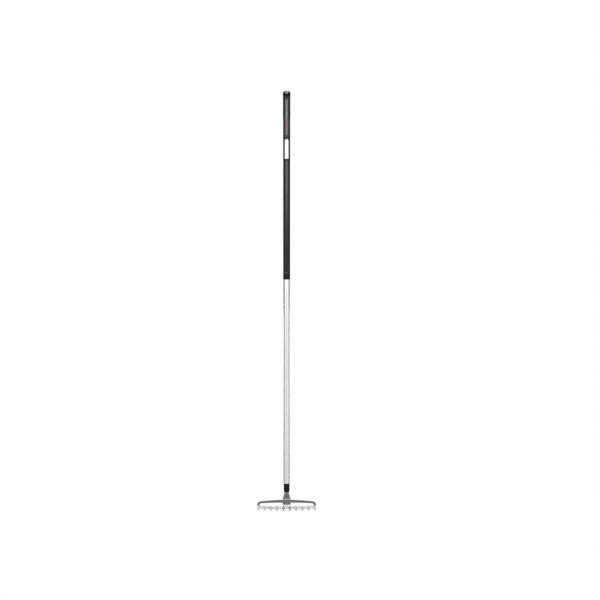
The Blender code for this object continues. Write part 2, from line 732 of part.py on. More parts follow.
def build():
    for old in list(bpy.data.objects):
        bpy.data.objects.remove(old)
    parts = bpy.data.collections.new("garden_rake")
    cutters = bpy.data.collections.new("cutters")
    bpy.context.scene.collection.children.link(parts)
    bpy.context.scene.collection.children.link(cutters)

    plastic = material("black plastic", (0.02, 0.02, 0.021), 0, 0.5)
    soft = material("soft black grip", (0.028, 0.027, 0.028), 0, 0.7)
    gloss = material("cap plastic", (0.012, 0.011, 0.011), 0, 0.3)
    copper = material("warm disc", (0.45, 0.27, 0.2), 0.3, 0.35)
    sleeving = material("sleeve plastic", (0.016, 0.016, 0.017), 0, 0.42)
    aluminium = material("aluminium", (0.8, 0.8, 0.79), 1, 0.28)
    steel = material("pin steel", (0.5, 0.5, 0.5), 1, 0.35)
    coated = material("grey coated steel", (0.3, 0.3, 0.3), 0.8, 0.42)

    hanger = make_hanger(plastic, parts, cutters)
    make_grip(soft, parts)
    cap = make_cap(gloss, parts, cutters)
    make_disc(copper, parts)
    pipe("handle_sleeve", SLEEVE_RADIUS, SLEEVE_BORE_RADIUS, TUBE_TOP, SLEEVE_BOTTOM, sleeving, parts)
    make_end_ring(plastic, parts)
    tube = pipe("shaft_tube", TUBE_RADIUS, TUBE_BORE_RADIUS, TUBE_TOP, TUBE_BOTTOM, aluminium, parts)
    bush = make_bush(plastic, parts)
    neck = make_neck(coated, parts, cutters)
    make_bow(coated, parts)
    make_bar(coated, parts)
    make_tines(coated, parts)

    hanger_pin_height = HANGER_FOOT - SPIGOT_LENGTH + HANGER_PIN_INSET
    cross_pin("hanger_pin", PIN_RADIUS, TUBE_RADIUS - FIT, hanger_pin_height, steel, parts)
    hole = cross_pin("hanger_pin_cutter", PIN_RADIUS + FIT, 2 * TUBE_RADIUS, hanger_pin_height, None, cutters)
    cut(hanger, as_cutter(hole))
    cut(tube, hole)
    tang_pin_height = TANG_TOP - TANG_PIN_INSET
    cross_pin("tang_pin", PIN_RADIUS, SPIGOT_RADIUS - FIT, tang_pin_height, steel, parts)
    hole = cross_pin("tang_pin_cutter", PIN_RADIUS + FIT, 2 * TUBE_RADIUS, tang_pin_height, None, cutters)
    cut(bush, as_cutter(hole))
    cut(neck, hole)

    for made in (hanger, cap, tube, bush, neck):
        bake(made)


build()
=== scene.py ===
import math

import bmesh
import bpy
from mathutils import Matrix, Vector


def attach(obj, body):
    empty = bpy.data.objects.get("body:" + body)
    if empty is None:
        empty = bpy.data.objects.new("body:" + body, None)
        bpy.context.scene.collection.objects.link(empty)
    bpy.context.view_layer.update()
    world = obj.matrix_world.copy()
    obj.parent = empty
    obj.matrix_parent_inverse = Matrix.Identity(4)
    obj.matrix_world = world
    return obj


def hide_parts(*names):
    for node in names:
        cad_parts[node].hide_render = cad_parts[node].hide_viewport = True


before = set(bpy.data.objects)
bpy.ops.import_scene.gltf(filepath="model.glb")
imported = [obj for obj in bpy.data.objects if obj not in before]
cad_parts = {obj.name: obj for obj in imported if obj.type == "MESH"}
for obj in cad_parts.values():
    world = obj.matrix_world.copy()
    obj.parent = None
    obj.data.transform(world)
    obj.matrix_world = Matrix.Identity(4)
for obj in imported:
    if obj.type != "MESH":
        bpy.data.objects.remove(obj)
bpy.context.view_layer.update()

scene = bpy.context.scene


# ----------------------------------------
# Camera. It is level and square to the head, and so far off that the shaft's sides stay parallel.
# Its frame holds the whole rake, from the cap to the claws, on white.
VIEW_DISTANCE = 10.0
VIEW_ACROSS = 0.0522
VIEW_HEIGHT = -0.63
VIEW_WIDTH = 2.346
SENSOR = 36.0


def put(name, data):
    """A new object of the scene with this mesh, curve, lamp or camera."""
    thing = bpy.data.objects.new(name, data)
    scene.collection.objects.link(thing)
    return thing


camera_data = bpy.data.cameras.new("view")
camera_data.sensor_width = SENSOR
camera_data.lens = SENSOR * VIEW_DISTANCE / VIEW_WIDTH
camera = put("view", camera_data)
camera.location = (VIEW_ACROSS, -VIEW_DISTANCE, VIEW_HEIGHT)
camera.rotation_euler = (math.pi / 2, 0, 0)
scene.camera = camera
scene.view_settings.view_transform = "Standard"


# ----------------------------------------
# Studio. The rake hangs above a plain white floor that fades out at its rim. One large soft lamp
# stands high in front of it and a smaller one low behind; metal sees white walls and grey flags.
FLOOR_HEIGHT = -2.02
FLOOR_RADIUS = 1.3
FLOOR_FADE = 0.35
FLOOR_RIM = 0.02
FLOOR_SIDES = 96
FLOOR_WHITE = (0.88, 0.88, 0.88, 1)
FLOOR_GLOW = 0.42
AMBIENT = 0.3
CEILING_LEVEL = 0.6
CEILING_RISE = (0.55, 0.9)
WALL_LEVELS = (
    (-180, 1.1), (-168, 0.8), (-152, 0.1), (-116, 0.1), (-95, 0.35), (-66, 0.4), (-54, 1.0),
    (-40, 1.4), (-20, 1.1), (-11, 0.41), (7, 0.41), (16, 0.95), (38, 1.22), (58, 0.95),
    (80, 0.5), (100, 0.2), (135, 0.1), (152, 0.9), (180, 1.1),
)


class Signal:
    """A socket of a tree of nodes, which takes part in sums and products as a number does."""

    def __init__(self, nodes, socket):
        self.nodes = nodes
        self.socket = socket

    def __add__(self, other):
        return self.nodes.maths("ADD", self, other)

    def __sub__(self, other):
        return self.nodes.maths("SUBTRACT", self, other)

    def __rsub__(self, other):
        return self.nodes.maths("SUBTRACT", other, self)

    def __mul__(self, other):
        return self.nodes.maths("MULTIPLY", self, other)

    def __truediv__(self, other):
        return self.nodes.maths("DIVIDE", self, other)

    def __rtruediv__(self, other):
        return self.nodes.maths("DIVIDE", other, self)

    __radd__ = __add__
    __rmul__ = __mul__

    def greater(self, other):
        return self.nodes.maths("MAXIMUM", self, other)

    def size(self):
        return self.nodes.maths("ABSOLUTE", self)

    def ramp(self, low, high, first=0.0, last=1.0):
        """Runs smoothly from first to last as the signal goes from low to high, and stays there."""
        values = {0: self, 1: low, 2: high, 3: first, 4: last}
        return self.nodes.node("ShaderNodeMapRange", {"interpolation_type": "SMOOTHSTEP"}, values)


def set_stops(band, stops):
    """Gives a colour ramp these stops of (share, level)."""
    while len(band.elements) < len(stops):
        band.elements.new(0.5)
    for element, (position, level) in zip(band.elements, stops):
        element.position = position
        element.color = (level, level, level, 1)


class Nodes:
    """A tree of nodes, for a finish or for a rule that shapes a mesh."""

    def __init__(self, tree):
        self.tree = tree

    def feed(self, inputs, values):
        for socket, value in values.items():
            if isinstance(value, Signal):
                self.tree.links.new(value.socket, inputs[socket])
            else:
                inputs[socket].default_value = value

    def make(self, kind, settings=None, values=None):
        """Adds a node, with its settings first and then the values or links of its sockets."""
        made = self.tree.nodes.new(kind)
        for setting, value in (settings or {}).items():
            if setting == "stops":
                set_stops(made.color_ramp, value)
            else:
                setattr(made, setting, value)
        self.feed(made.inputs, values or {})
        return made

    def node(self, kind, settings=None, values=None, output=0):
        """Adds a node and gives one of its outputs."""
        return Signal(self, self.make(kind, settings, values).outputs[output])

    def maths(self, operation, *values):
        return self.node("ShaderNodeMath", {"operation": operation}, dict(enumerate(values)))

    def split(self, vector):
        """The three parts of a vector."""
        made = self.make("ShaderNodeSeparateXYZ", {}, {0: vector})
        return [Signal(self, socket) for socket in made.outputs]


class Finish(Nodes):
    """The nodes of one material, or of the world, round its shader."""

    def __init__(self, owner, shader):
        owner.use_nodes = True
        super().__init__(owner.node_tree)
        self.owner = owner
        self.shader = self.tree.nodes[shader]

    def surface(self, values):
        self.feed(self.shader.inputs, values)

    def place(self):
        """Where a point is on the object, in metres."""
        return self.node("ShaderNodeTexCoord", output="Object")

    def place_parts(self):
        """How far a point lies across the object, back and up, in metres."""
        return self.split(self.place())

    def ray(self, kind):
        """1 for a ray of this kind, and 0 for any other."""
        return self.node("ShaderNodeLightPath", output=f"Is {kind} Ray")

    def noise(self, per_metre, detail=2.0, roughness=0.5, stretch=(1, 1, 1), shift=(0, 0, 0)):
        """Soft noise from 0 to 1, with this many spots to a metre."""
        values = {"Vector": self.place(), "Scale": stretch, "Location": shift}
        where = self.node("ShaderNodeMapping", {}, values)
        values = {"Vector": where, "Scale": per_metre, "Detail": detail, "Roughness": roughness}
        return self.node("ShaderNodeTexNoise", {}, values)

    def hairlines(self, per_metre, stretch, shift):
        """1 on hair thin lines and 0 beside them."""
        midway = (self.noise(per_metre, 1, 0.4, stretch, shift) - 0.5).size()
        return midway.ramp(0.0, 0.012, 1, 0)

    def blend(self, share, first, second):
        """A colour between two, by a share from 0 to 1."""
        values = {0: share, 6: first, 7: second}
        return self.node("ShaderNodeMix", {"data_type": "RGBA"}, values, output=2)

    def glancing(self):
        """Runs from 0 where a surface is seen square on to 1 where it is seen along."""
        facing = self.node("ShaderNodeLayerWeight", {}, {"Blend": 0.5}, output="Facing")
        return facing.ramp(0.15, 0.7)

    def bump(self, height, depth):
        """The normal of a surface that rises by a height from 0 to 1 times the depth in metres."""
        values = {"Height": height, "Distance": depth, "Strength": 1.0}
        return self.node("ShaderNodeBump", {}, values)


def new_finish(name):
    return Finish(bpy.data.materials.new(name), "Principled BSDF")


floor_finish = new_finish("white_floor")
floor_across, floor_along, _ = floor_finish.place_parts()
floor_square = floor_across * floor_across + floor_along * floor_along
floor_radius = floor_finish.maths("SQRT", floor_square)
floor_shown = floor_finish.ray("Camera").greater(floor_finish.ray("Glossy"))
floor_finish.surface({
    "Base Color": FLOOR_WHITE,
    "Emission Color": floor_shown * FLOOR_GLOW,
    "Emission Strength": 1.0,
    "Roughness": 0.9,
    "Specular IOR Level": 0.1,
    "Alpha": floor_radius.ramp(FLOOR_RADIUS - FLOOR_FADE, FLOOR_RADIUS - FLOOR_RIM, 1, 0),
})

floor_shape = bmesh.new()
bmesh.ops.create_circle(floor_shape, cap_ends=True, segments=FLOOR_SIDES, radius=FLOOR_RADIUS)
floor_mesh = bpy.data.meshes.new("floor")
floor_shape.to_mesh(floor_mesh)
floor_shape.free()
floor_mesh.materials.append(floor_finish.owner)
floor = put("floor", floor_mesh)
floor.location.z = FLOOR_HEIGHT


def soft_lamp(name, place, aim, width, height, radiance):
    """A soft rectangular lamp whose own face is this bright, where white paper is 1."""
    data = bpy.data.lights.new(name, "AREA")
    data.shape = "RECTANGLE"
    data.size = width
    data.size_y = height
    data.energy = radiance * math.pi * width * height
    lamp = put(name, data)
    lamp.location = place
    lamp.rotation_euler = (Vector(place) - Vector(aim)).to_track_quat("Z", "Y").to_euler()
    lamp.visible_camera = False


soft_lamp("front_lamp", (-0.05, -1.5, 0.19), (-0.05, 0.0, -0.12), 1.9, 0.72, 6.0)
soft_lamp("back_lamp", (0.0, 0.95, -1.08), (0.0, 0.0, -1.42), 1.6, 0.85, 2.0)

world = bpy.data.worlds.new("studio")
scene.world = world
room = Finish(world, "Background")
way_x, way_y, way_z = room.split(room.node("ShaderNodeTexCoord", output="Generated"))
bearing = room.maths("ARCTAN2", way_x, way_y * -1) / (2 * math.pi) + 0.5
wall_stops = [((degrees + 180) / 360, level) for degrees, level in WALL_LEVELS]
walls = room.node("ShaderNodeValToRGB", {"stops": wall_stops}, {0: bearing})
seen_by_metal = walls + (CEILING_LEVEL - walls) * way_z.ramp(*CEILING_RISE)
is_shown = room.ray("Camera").greater(room.ray("Transmission"))
lit = AMBIENT + (seen_by_metal - AMBIENT) * room.ray("Glossy")
room.surface({"Color": (1, 1, 1, 1), "Strength": lit + (1 - lit) * is_shown})


# ----------------------------------------
# Shaft: a drawn aluminium tube, satin anodised, open at both ends. Drawing leaves fine lines along
# it, and use a few scratches and a film of soil low down. Spigot and bush plug its two ends.
FIT = 0.0003
TUBE_RADIUS = 0.0127
TUBE_WALL = 0.0013
TUBE_LENGTH = 1.2612
TUBE_TOP = -0.0863
TUBE_BOTTOM = TUBE_TOP - TUBE_LENGTH
TUBE_LIP = 0.0003
TUBE_COLOUR = (0.9, 0.905, 0.915, 1)
TUBE_DULL_COLOUR = (0.82, 0.825, 0.835, 1)
SOIL_TOP = -0.8
ROUND_SIDES = 96
POLE_RADIUS = 0.000001
HARD_EDGE = math.radians(34)


def shares(steps, first=0):
    """The shares of a run of equal steps, from this step of it to its end."""
    return [step / steps for step in range(first, steps + 1)]


def eased(corners, closed=False, steps=4):
    """Rounds an outline where a corner is (x, y, radius), and keeps it sharp where it is (x, y)."""
    points = []
    for i, corner in enumerate(corners):
        here = Vector(corner[:2])
        last = len(corners) - 1
        if len(corner) < 3 or (not closed and i in (0, last)):
            points.append(tuple(here))
            continue
        to_before = (Vector(corners[i - 1][:2]) - here).normalized()
        to_after = (Vector(corners[(i + 1) % len(corners)][:2]) - here).normalized()
        half = to_before.angle(to_after) / 2
        centre = here + (to_before + to_after).normalized() * corner[2] / math.sin(half)
        start = here + to_before * corner[2] / math.tan(half) - centre
        end = here + to_after * corner[2] / math.tan(half) - centre
        sweep = start.angle(end)
        for share in shares(steps):
            spoke = start * math.sin((1 - share) * sweep) + end * math.sin(share * sweep)
            spoke /= math.sin(sweep)
            points.append(tuple(centre + spoke))
    return points


def divided(points, longest):
    """Adds points so that no run of an outline is longer than this."""
    result = [points[0]]
    for start, end in zip(points, points[1:]):
        parts = max(1, math.ceil((Vector(end) - Vector(start)).length / longest))
        result += [tuple(Vector(start).lerp(Vector(end), share)) for share in shares(parts, 1)]
    return result


def mesh_of(shape):
    """A mesh from a finished bmesh, with its faces outwards, smooth up to its hard edges."""
    bmesh.ops.recalc_face_normals(shape, faces=shape.faces)
    mesh = bpy.data.meshes.new("shape")
    shape.to_mesh(mesh)
    shape.free()
    mesh.shade_smooth()
    mesh.set_sharp_from_angle(angle=HARD_EDGE)
    return mesh


def skinned(rings, closed=False):
    """A skin over rings of points. One point alone is a pole, and a closed skin meets its start."""
    shape = bmesh.new()
    skin = [[shape.verts.new(point) for point in ring] for ring in rings]
    pairs = list(zip(skin, skin[1:]))
    if closed:
        pairs.append((skin[-1], skin[0]))
    for ring, following in pairs:
        count = max(len(ring), len(following))
        for i in range(count):
            j = (i + 1) % count
            corners = [ring[i % len(ring)], ring[j % len(ring)]]
            corners += [following[j % len(following)], following[i % len(following)]]
            shape.faces.new(list(dict.fromkeys(corners)))
    if not closed:
        for end in (skin[0], skin[-1]):
            if len(end) > 2:
                shape.faces.new(end)
    return mesh_of(shape)


def circle(radius, height):
    """A ring of points round the shaft's axis."""
    turn = 2 * math.pi / ROUND_SIDES
    return [Vector((radius * math.cos(i * turn), radius * math.sin(i * turn), height))
            for i in range(ROUND_SIDES)]


def turned(corners, closed=False, longest=math.inf):
    """Turns an outline of (radius, height) about the shaft's axis. A closed one leaves a bore."""
    profile = divided(eased(corners, closed), longest)
    rings = [circle(radius, height) if radius > POLE_RADIUS else [Vector((0, 0, height))]
             for radius, height in profile]
    return skinned(rings, closed)


def add_piece(name, mesh, finish):
    """Puts a finished mesh in the scene as a piece of the rake."""
    mesh.name = name
    mesh.materials.clear()
    mesh.materials.append(finish.owner)
    return put(name, mesh)


drawn_aluminium = new_finish("drawn_aluminium")
draw_lines = drawn_aluminium.noise(420, 3, 0.6, stretch=(1, 1, 0.012))
fine_lines = drawn_aluminium.noise(2100, 2, 0.6, stretch=(1, 1, 0.006), shift=(3, 1, 0))
handling = drawn_aluminium.noise(26, 3, 0.6, stretch=(1, 1, 0.35))
scratch_lines = drawn_aluminium.hairlines(300, (1, 1, 0.03), (7, 2, 5))
scratch_patch = drawn_aluminium.noise(9, 2, 0.5, shift=(2, 9, 4)).ramp(0.54, 0.66)
scratches = scratch_lines * scratch_patch
dullness = handling.ramp(0.38, 0.72) * 0.55 + draw_lines.ramp(0.3, 0.7) * 0.45
_, _, tube_height = drawn_aluminium.place_parts()
soil_film = tube_height.ramp(SOIL_TOP, TUBE_BOTTOM)
drawn_aluminium.surface({
    "Base Color": drawn_aluminium.blend(dullness, TUBE_COLOUR, TUBE_DULL_COLOUR),
    "Metallic": 0.85 - soil_film * 0.28,
    "Roughness": 0.22 + dullness * 0.08 + scratches * 0.12 + soil_film * 0.13,
    "Normal": drawn_aluminium.bump(draw_lines * 0.5 + fine_lines * 0.5, 0.000006),
})

TUBE_BORE = TUBE_RADIUS - TUBE_WALL
tube_mesh = turned([
    (TUBE_RADIUS, TUBE_TOP, TUBE_LIP),
    (TUBE_RADIUS, TUBE_BOTTOM, TUBE_LIP),
    (TUBE_BORE, TUBE_BOTTOM, TUBE_LIP),
    (TUBE_BORE, TUBE_TOP, TUBE_LIP),
], closed=True)
shaft = add_piece("aluminium_shaft", tube_mesh, drawn_aluminium)
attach(shaft, "root")
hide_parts("shaft_tube")


# ----------------------------------------
# Hanger: one black moulding with the hanging slot through it. Its core carries the grip above, and
# its spigot is pressed into the shaft below. The slot's mouths are rolled over at front and back.
SLOT_WIDTH = 0.0141
SLOT_LENGTH = 0.078
SLOT_CORNER = 0.002
SLOT_TOP_STEPS = 24
SLOT_CORNER_STEPS = 6
SLOT_FINENESS = 0.003
SLOT_ROLL = 0.0019
SLOT_ROLL_SHARE = 0.93
SLOT_ROLL_SPREAD = 1.25
SLOT_ROLL_RISE = 0.0006
ROLL_STEPS = 5
HANGER_RADIUS = 0.0138
HANGER_SHOULDER = 0.005
HANGER_FOOT = -0.086
HANGER_EDGE = 0.0005
HANGER_FINENESS = 0.0024
CORE_RADIUS = 0.0098
SPIGOT_RADIUS = 0.0111
SPIGOT_LENGTH = 0.07
SPIGOT_LEAD = 0.0012
STEM_RADIUS = 0.0045
STEM_LENGTH = 0.026
GRIP_TOP = 0.167
CARVED_MERGE = 0.000002
MOULDED_BLACK = (0.0055, 0.0055, 0.0058, 1)
RUBBED_BLACK = (0.014, 0.0135, 0.0135, 1)


def outcome(holder):
    """The shape that a passing object has come to, as a bmesh. The object goes."""
    evaluated = holder.evaluated_get(bpy.context.evaluated_depsgraph_get())
    mesh = bpy.data.meshes.new_from_object(evaluated)
    bpy.data.objects.remove(holder)
    shape = bmesh.new()
    shape.from_mesh(mesh)
    return shape


def carved(mesh, cutter):
    """The mesh with the cutter's shape taken out of it."""
    body, tool = put("body", mesh), put("tool", cutter)
    boolean = body.modifiers.new("cut", "BOOLEAN")
    boolean.operation = "DIFFERENCE"
    boolean.solver = "EXACT"
    boolean.object = tool
    shape = outcome(body)
    bpy.data.objects.remove(tool)
    bmesh.ops.remove_doubles(shape, verts=shape.verts, dist=CARVED_MERGE)
    return mesh_of(shape)


def rolled_mouth(roll, share, spread, rise):
    """Stops of (grow, depth) over a cutter's rolled mouth, and a last one clear of the surface."""
    turns = [math.pi / 2 * part * share for part in shares(ROLL_STEPS)]
    stops = [(roll * (1 - math.cos(turn)), roll * (1 - math.sin(turn))) for turn in turns]
    return stops + [(roll * spread, -rise)]


def laid_flat(ring, y):
    """The ring laid flat, this far back."""
    return [Vector((point.x, y, point.z)) for point in ring]


def slot_outline(grow):
    """The slot's outline from the front, grown all round: a round top and a flat floor."""
    half = SLOT_WIDTH / 2
    side, foot, corner = half + grow, -SLOT_LENGTH - grow, SLOT_CORNER + grow
    turns = [math.pi * share for share in shares(SLOT_TOP_STEPS)]
    points = [(side * math.cos(turn), -half + side * math.sin(turn)) for turn in turns]
    low = [(-side, -half), (-side, foot, corner), (side, foot, corner), (side, -half)]
    return points + divided(eased(low, steps=SLOT_CORNER_STEPS), SLOT_FINENESS)[1:-1]


def slot_ring(grow, depth, side):
    """The outline laid on the hanger's round side, this deep under its surface."""
    ring = []
    for x, z in slot_outline(grow):
        surface = math.sqrt(HANGER_RADIUS ** 2 - x ** 2)
        ring.append(Vector((x, side * (surface - depth), z)))
    return ring


slot_stops = rolled_mouth(SLOT_ROLL, SLOT_ROLL_SHARE, SLOT_ROLL_SPREAD, SLOT_ROLL_RISE)
slot_halves = []
for side in (-1, 1):
    half = [slot_ring(grow, depth, side) for grow, depth in slot_stops]
    slot_halves.append(half + [laid_flat(half[-1], side * 2 * HANGER_RADIUS)])
slot_skin = slot_halves[0][::-1] + slot_halves[1]

hanger_mesh = turned([
    (0, GRIP_TOP - STEM_LENGTH - FIT),
    (STEM_RADIUS + FIT, GRIP_TOP - STEM_LENGTH - FIT),
    (STEM_RADIUS + FIT, GRIP_TOP),
    (CORE_RADIUS, GRIP_TOP, HANGER_EDGE),
    (CORE_RADIUS, HANGER_SHOULDER - FIT),
    (HANGER_RADIUS, HANGER_SHOULDER - FIT, HANGER_EDGE),
    (HANGER_RADIUS, HANGER_FOOT, HANGER_EDGE),
    (SPIGOT_RADIUS, HANGER_FOOT),
    (SPIGOT_RADIUS, HANGER_FOOT - SPIGOT_LENGTH, SPIGOT_LEAD),
    (0, HANGER_FOOT - SPIGOT_LENGTH),
], longest=HANGER_FINENESS)
hanger_mesh = carved(hanger_mesh, skinned(slot_skin))

moulded_plastic = new_finish("black_moulded_plastic")
spark_grain = moulded_plastic.noise(2600, 2, 0.6)
flow = moulded_plastic.noise(45, 3, 0.55, stretch=(1, 1, 0.4))
rub = moulded_plastic.noise(160, 4, 0.65, shift=(4, 4, 4)).ramp(0.52, 0.74)
moulded_plastic.surface({
    "Base Color": moulded_plastic.blend(rub * 0.6, MOULDED_BLACK, RUBBED_BLACK),
    "Roughness": 0.26 + flow.ramp(0.3, 0.7) * 0.07 + rub * 0.08 + moulded_plastic.glancing() * 0.4,
    "Specular IOR Level": 0.3,
    "Normal": moulded_plastic.bump(spark_grain, 0.00002),
})
hanger = add_piece("slotted_hanger", hanger_mesh, moulded_plastic)
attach(hanger, "root")
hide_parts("hanger")


# ----------------------------------------
# Cross pins: two plain steel pins, ground and cut to length. One holds the hanger's spigot in the
# shaft and the other the neck's tang in the bush. Both are hidden, and keep their CAD solids.
PIN_COLOUR = (0.56, 0.555, 0.545, 1)
PIN_STAIN = (0.4, 0.37, 0.34, 1)

ground_steel = new_finish("ground_pin_steel")
pin_lines = ground_steel.noise(2400, 2, 0.6, stretch=(0.04, 1, 1))
pin_stain = ground_steel.noise(700, 3, 0.6).ramp(0.5, 0.75)
ground_steel.surface({
    "Base Color": ground_steel.blend(pin_stain * 0.6, PIN_COLOUR, PIN_STAIN),
    "Metallic": 1.0,
    "Roughness": 0.3 + pin_lines * 0.12 + pin_stain * 0.1,
    "Normal": ground_steel.bump(pin_lines, 0.00002),
})
for pin in ("hanger_pin", "tang_pin"):
    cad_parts[pin].data.materials.clear()
    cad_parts[pin].data.materials.append(ground_steel.owner)


# ----------------------------------------
# Handle sleeve: a long thin sleeve of black plastic, drawn over the shaft from the hanger down.
# It is satin, with the faint lengthwise lines of an extrusion, and polished a little where held.
SLEEVE_BORE = TUBE_RADIUS + FIT
SLEEVE_RADIUS = 0.01365
SLEEVE_LENGTH = 0.438
SLEEVE_LIP = 0.0003
SLEEVE_BOTTOM = TUBE_TOP - SLEEVE_LENGTH
PLAIN_BLACK = (0.005, 0.005, 0.0053, 1)
BLACK_DUST = (0.012, 0.0117, 0.0115, 1)

extruded_plastic = new_finish("black_extruded_plastic")
die_lines = extruded_plastic.noise(900, 3, 0.6, stretch=(1, 1, 0.01))
orange_peel = extruded_plastic.noise(520, 2, 0.5)
held = extruded_plastic.noise(14, 3, 0.6)
dust = extruded_plastic.noise(90, 4, 0.7, shift=(1, 5, 2)).ramp(0.5, 0.75)
sleeve_dullness = 0.31 + held.ramp(0.35, 0.7) * 0.06 + dust * 0.05
extruded_plastic.surface({
    "Base Color": extruded_plastic.blend(dust * 0.6, PLAIN_BLACK, BLACK_DUST),
    "Roughness": sleeve_dullness + extruded_plastic.glancing() * 0.35,
    "Specular IOR Level": 0.36,
    "Normal": extruded_plastic.bump(die_lines * 0.6 + orange_peel * 0.4, 0.000015),
})
sleeve_mesh = turned([
    (SLEEVE_RADIUS, TUBE_TOP, SLEEVE_LIP),
    (SLEEVE_RADIUS, SLEEVE_BOTTOM, SLEEVE_LIP),
    (SLEEVE_BORE, SLEEVE_BOTTOM),
    (SLEEVE_BORE, TUBE_TOP),
], closed=True)
sleeve = add_piece("long_sleeve", sleeve_mesh, extruded_plastic)
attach(sleeve, "root")
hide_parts("handle_sleeve")


# ----------------------------------------
# Sleeve end ring: a black moulded ring, pushed up against the sleeve's end. It has four round ribs,
# and the last of them rolls in to close its lower end on the shaft.
RING_TOP = SLEEVE_BOTTOM - FIT
RING_LENGTH = 0.0255
RING_RADIUS = SLEEVE_BORE + 0.0008
RING_RIBS = 4
RIB_DEPTH = 0.0004
RIB_FINENESS = 12
NUMBER_SOCKETS = {int: "NodeSocketInt", float: "NodeSocketFloat"}


class Rule(Nodes):
    """A tree of Geometry Nodes that shapes a mesh, with a named input for each of its values."""

    def __init__(self, name, values):
        super().__init__(bpy.data.node_groups.new(name, "GeometryNodeTree"))
        self.values = values
        add_socket = self.tree.interface.new_socket
        add_socket("Geometry", in_out="INPUT", socket_type="NodeSocketGeometry")
        for label, value in values.items():
            kind = NUMBER_SOCKETS.get(type(value), "NodeSocketMaterial")
            add_socket(label, in_out="INPUT", socket_type=kind)
        add_socket("Geometry", in_out="OUTPUT", socket_type="NodeSocketGeometry")
        self.inlet = self.make("NodeGroupInput")

    def given(self, label):
        return Signal(self, self.inlet.outputs[label])

    def end(self, geometry):
        """Ends the tree in real geometry with the finish on it."""
        real = self.node("GeometryNodeRealizeInstances", {}, {0: geometry})
        values = {"Geometry": real, "Material": self.given("Finish")}
        self.make("NodeGroupOutput", {}, {0: self.node("GeometryNodeSetMaterial", {}, values)})

    def shaped(self, mesh):
        """The mesh after the tree has worked on it."""
        holder = put("holder", mesh)
        modifier = holder.modifiers.new("rule", "NODES")
        modifier.node_group = self.tree
        for item in self.tree.interface.items_tree:
            if item.name in self.values:
                modifier[item.identifier] = self.values[item.name]
        return mesh_of(outcome(holder))


dull_plastic = new_finish("dull_black_plastic")
dull_grain = dull_plastic.noise(1900, 2, 0.6)
dull_dust = dull_plastic.noise(240, 4, 0.7, shift=(2, 2, 8)).ramp(0.5, 0.75)
dull_plastic.surface({
    "Base Color": dull_plastic.blend(dull_dust * 0.5, PLAIN_BLACK, BLACK_DUST),
    "Roughness": 0.42 + dull_dust * 0.1,
    "Specular IOR Level": 0.18,
    "Normal": dull_plastic.bump(dull_grain, 0.00002),
})
ring_mesh = turned([
    (RING_RADIUS, RING_TOP),
    (RING_RADIUS, RING_TOP - RING_LENGTH),
    (SLEEVE_BORE, RING_TOP - RING_LENGTH),
    (SLEEVE_BORE, RING_TOP),
], closed=True, longest=RING_LENGTH / RING_RIBS / RIB_FINENESS)
ribs = Rule("ring_ribs", {
    "Ribs": RING_RIBS,
    "Rib depth": RIB_DEPTH,
    "Ring top": RING_TOP,
    "Ring length": RING_LENGTH,
    "Wall middle": (RING_RADIUS - RIB_DEPTH + SLEEVE_BORE) / 2,
    "Finish": dull_plastic.owner,
})
rib_x, rib_y, rib_z = ribs.split(ribs.node("GeometryNodeInputPosition"))
rib_radius = ribs.maths("SQRT", rib_x * rib_x + rib_y * rib_y)
down_ring = (ribs.given("Ring top") - rib_z) / ribs.given("Ring length")
wave = ribs.maths("SINE", down_ring * ribs.given("Ribs") * math.pi).size()
on_outside = ribs.maths("GREATER_THAN", rib_radius, ribs.given("Wall middle"))
inward = (wave - 1) * ribs.given("Rib depth") * on_outside / rib_radius
rib_offset = ribs.node("ShaderNodeCombineXYZ", {}, {0: rib_x * inward, 1: rib_y * inward})
rib_values = {"Geometry": ribs.given("Geometry"), "Offset": rib_offset}
ribs.end(ribs.node("GeometryNodeSetPosition", {}, rib_values))
end_ring = add_piece("ribbed_end_ring", ribs.shaped(ring_mesh), dull_plastic)
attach(end_ring, "root")
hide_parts("sleeve_end_ring")


# ----------------------------------------
# Grip: soft black rubber moulded over the hanger's core. It is full at the top, drawn in to a waist
# below and flared again at its lower lip. It is matte, with a painted warm sheen on the waist's
# front and back.
GRIP_BOTTOM = HANGER_SHOULDER
GRIP_RADIUS = 0.01455
GRIP_WAIST_DEPTH = 0.00065
GRIP_WAIST_LENGTH = 0.0434
GRIP_WAIST_RUN = 0.028
GRIP_LIP_DEPTH = 0.0002
GRIP_LIP_LENGTH = 0.018
GRIP_LIP_RUN = 0.0108
GRIP_EDGE = 0.0012
GRIP_EDGE_STEPS = 5
GRIP_FINENESS = 0.003
GRIP_SKIN = 0.002
SHEEN_FROM = (0.014, 0.034)
SHEEN_TO = (0.076, 0.098)
SHEEN_ACROSS = (0.003, 0.0098)
LIP_MATTE = (0.013, 0.018)
TOP_MATTE = (0.147, 0.164)
SHOULDER_FROM = (0.072, 0.092)
SHOULDER_TO = (0.096, 0.113)
RUBBER_BLACK = (0.006, 0.0056, 0.0085, 1)
RUBBER_PAINTED_SHEEN = (0.048, 0.019, 0.0138, 1)


def eased_share(share):
    share = min(max(share, 0), 1)
    return share * share * (3 - 2 * share)


def grip_radius(height):
    above_lip = height - GRIP_BOTTOM - GRIP_LIP_LENGTH
    into_waist = eased_share(1 - (above_lip - GRIP_WAIST_LENGTH) / GRIP_WAIST_RUN)
    out_to_lip = eased_share(-above_lip / GRIP_LIP_RUN)
    flare_out = (GRIP_WAIST_DEPTH - GRIP_LIP_DEPTH) * out_to_lip
    return GRIP_RADIUS - GRIP_WAIST_DEPTH * into_waist + flare_out


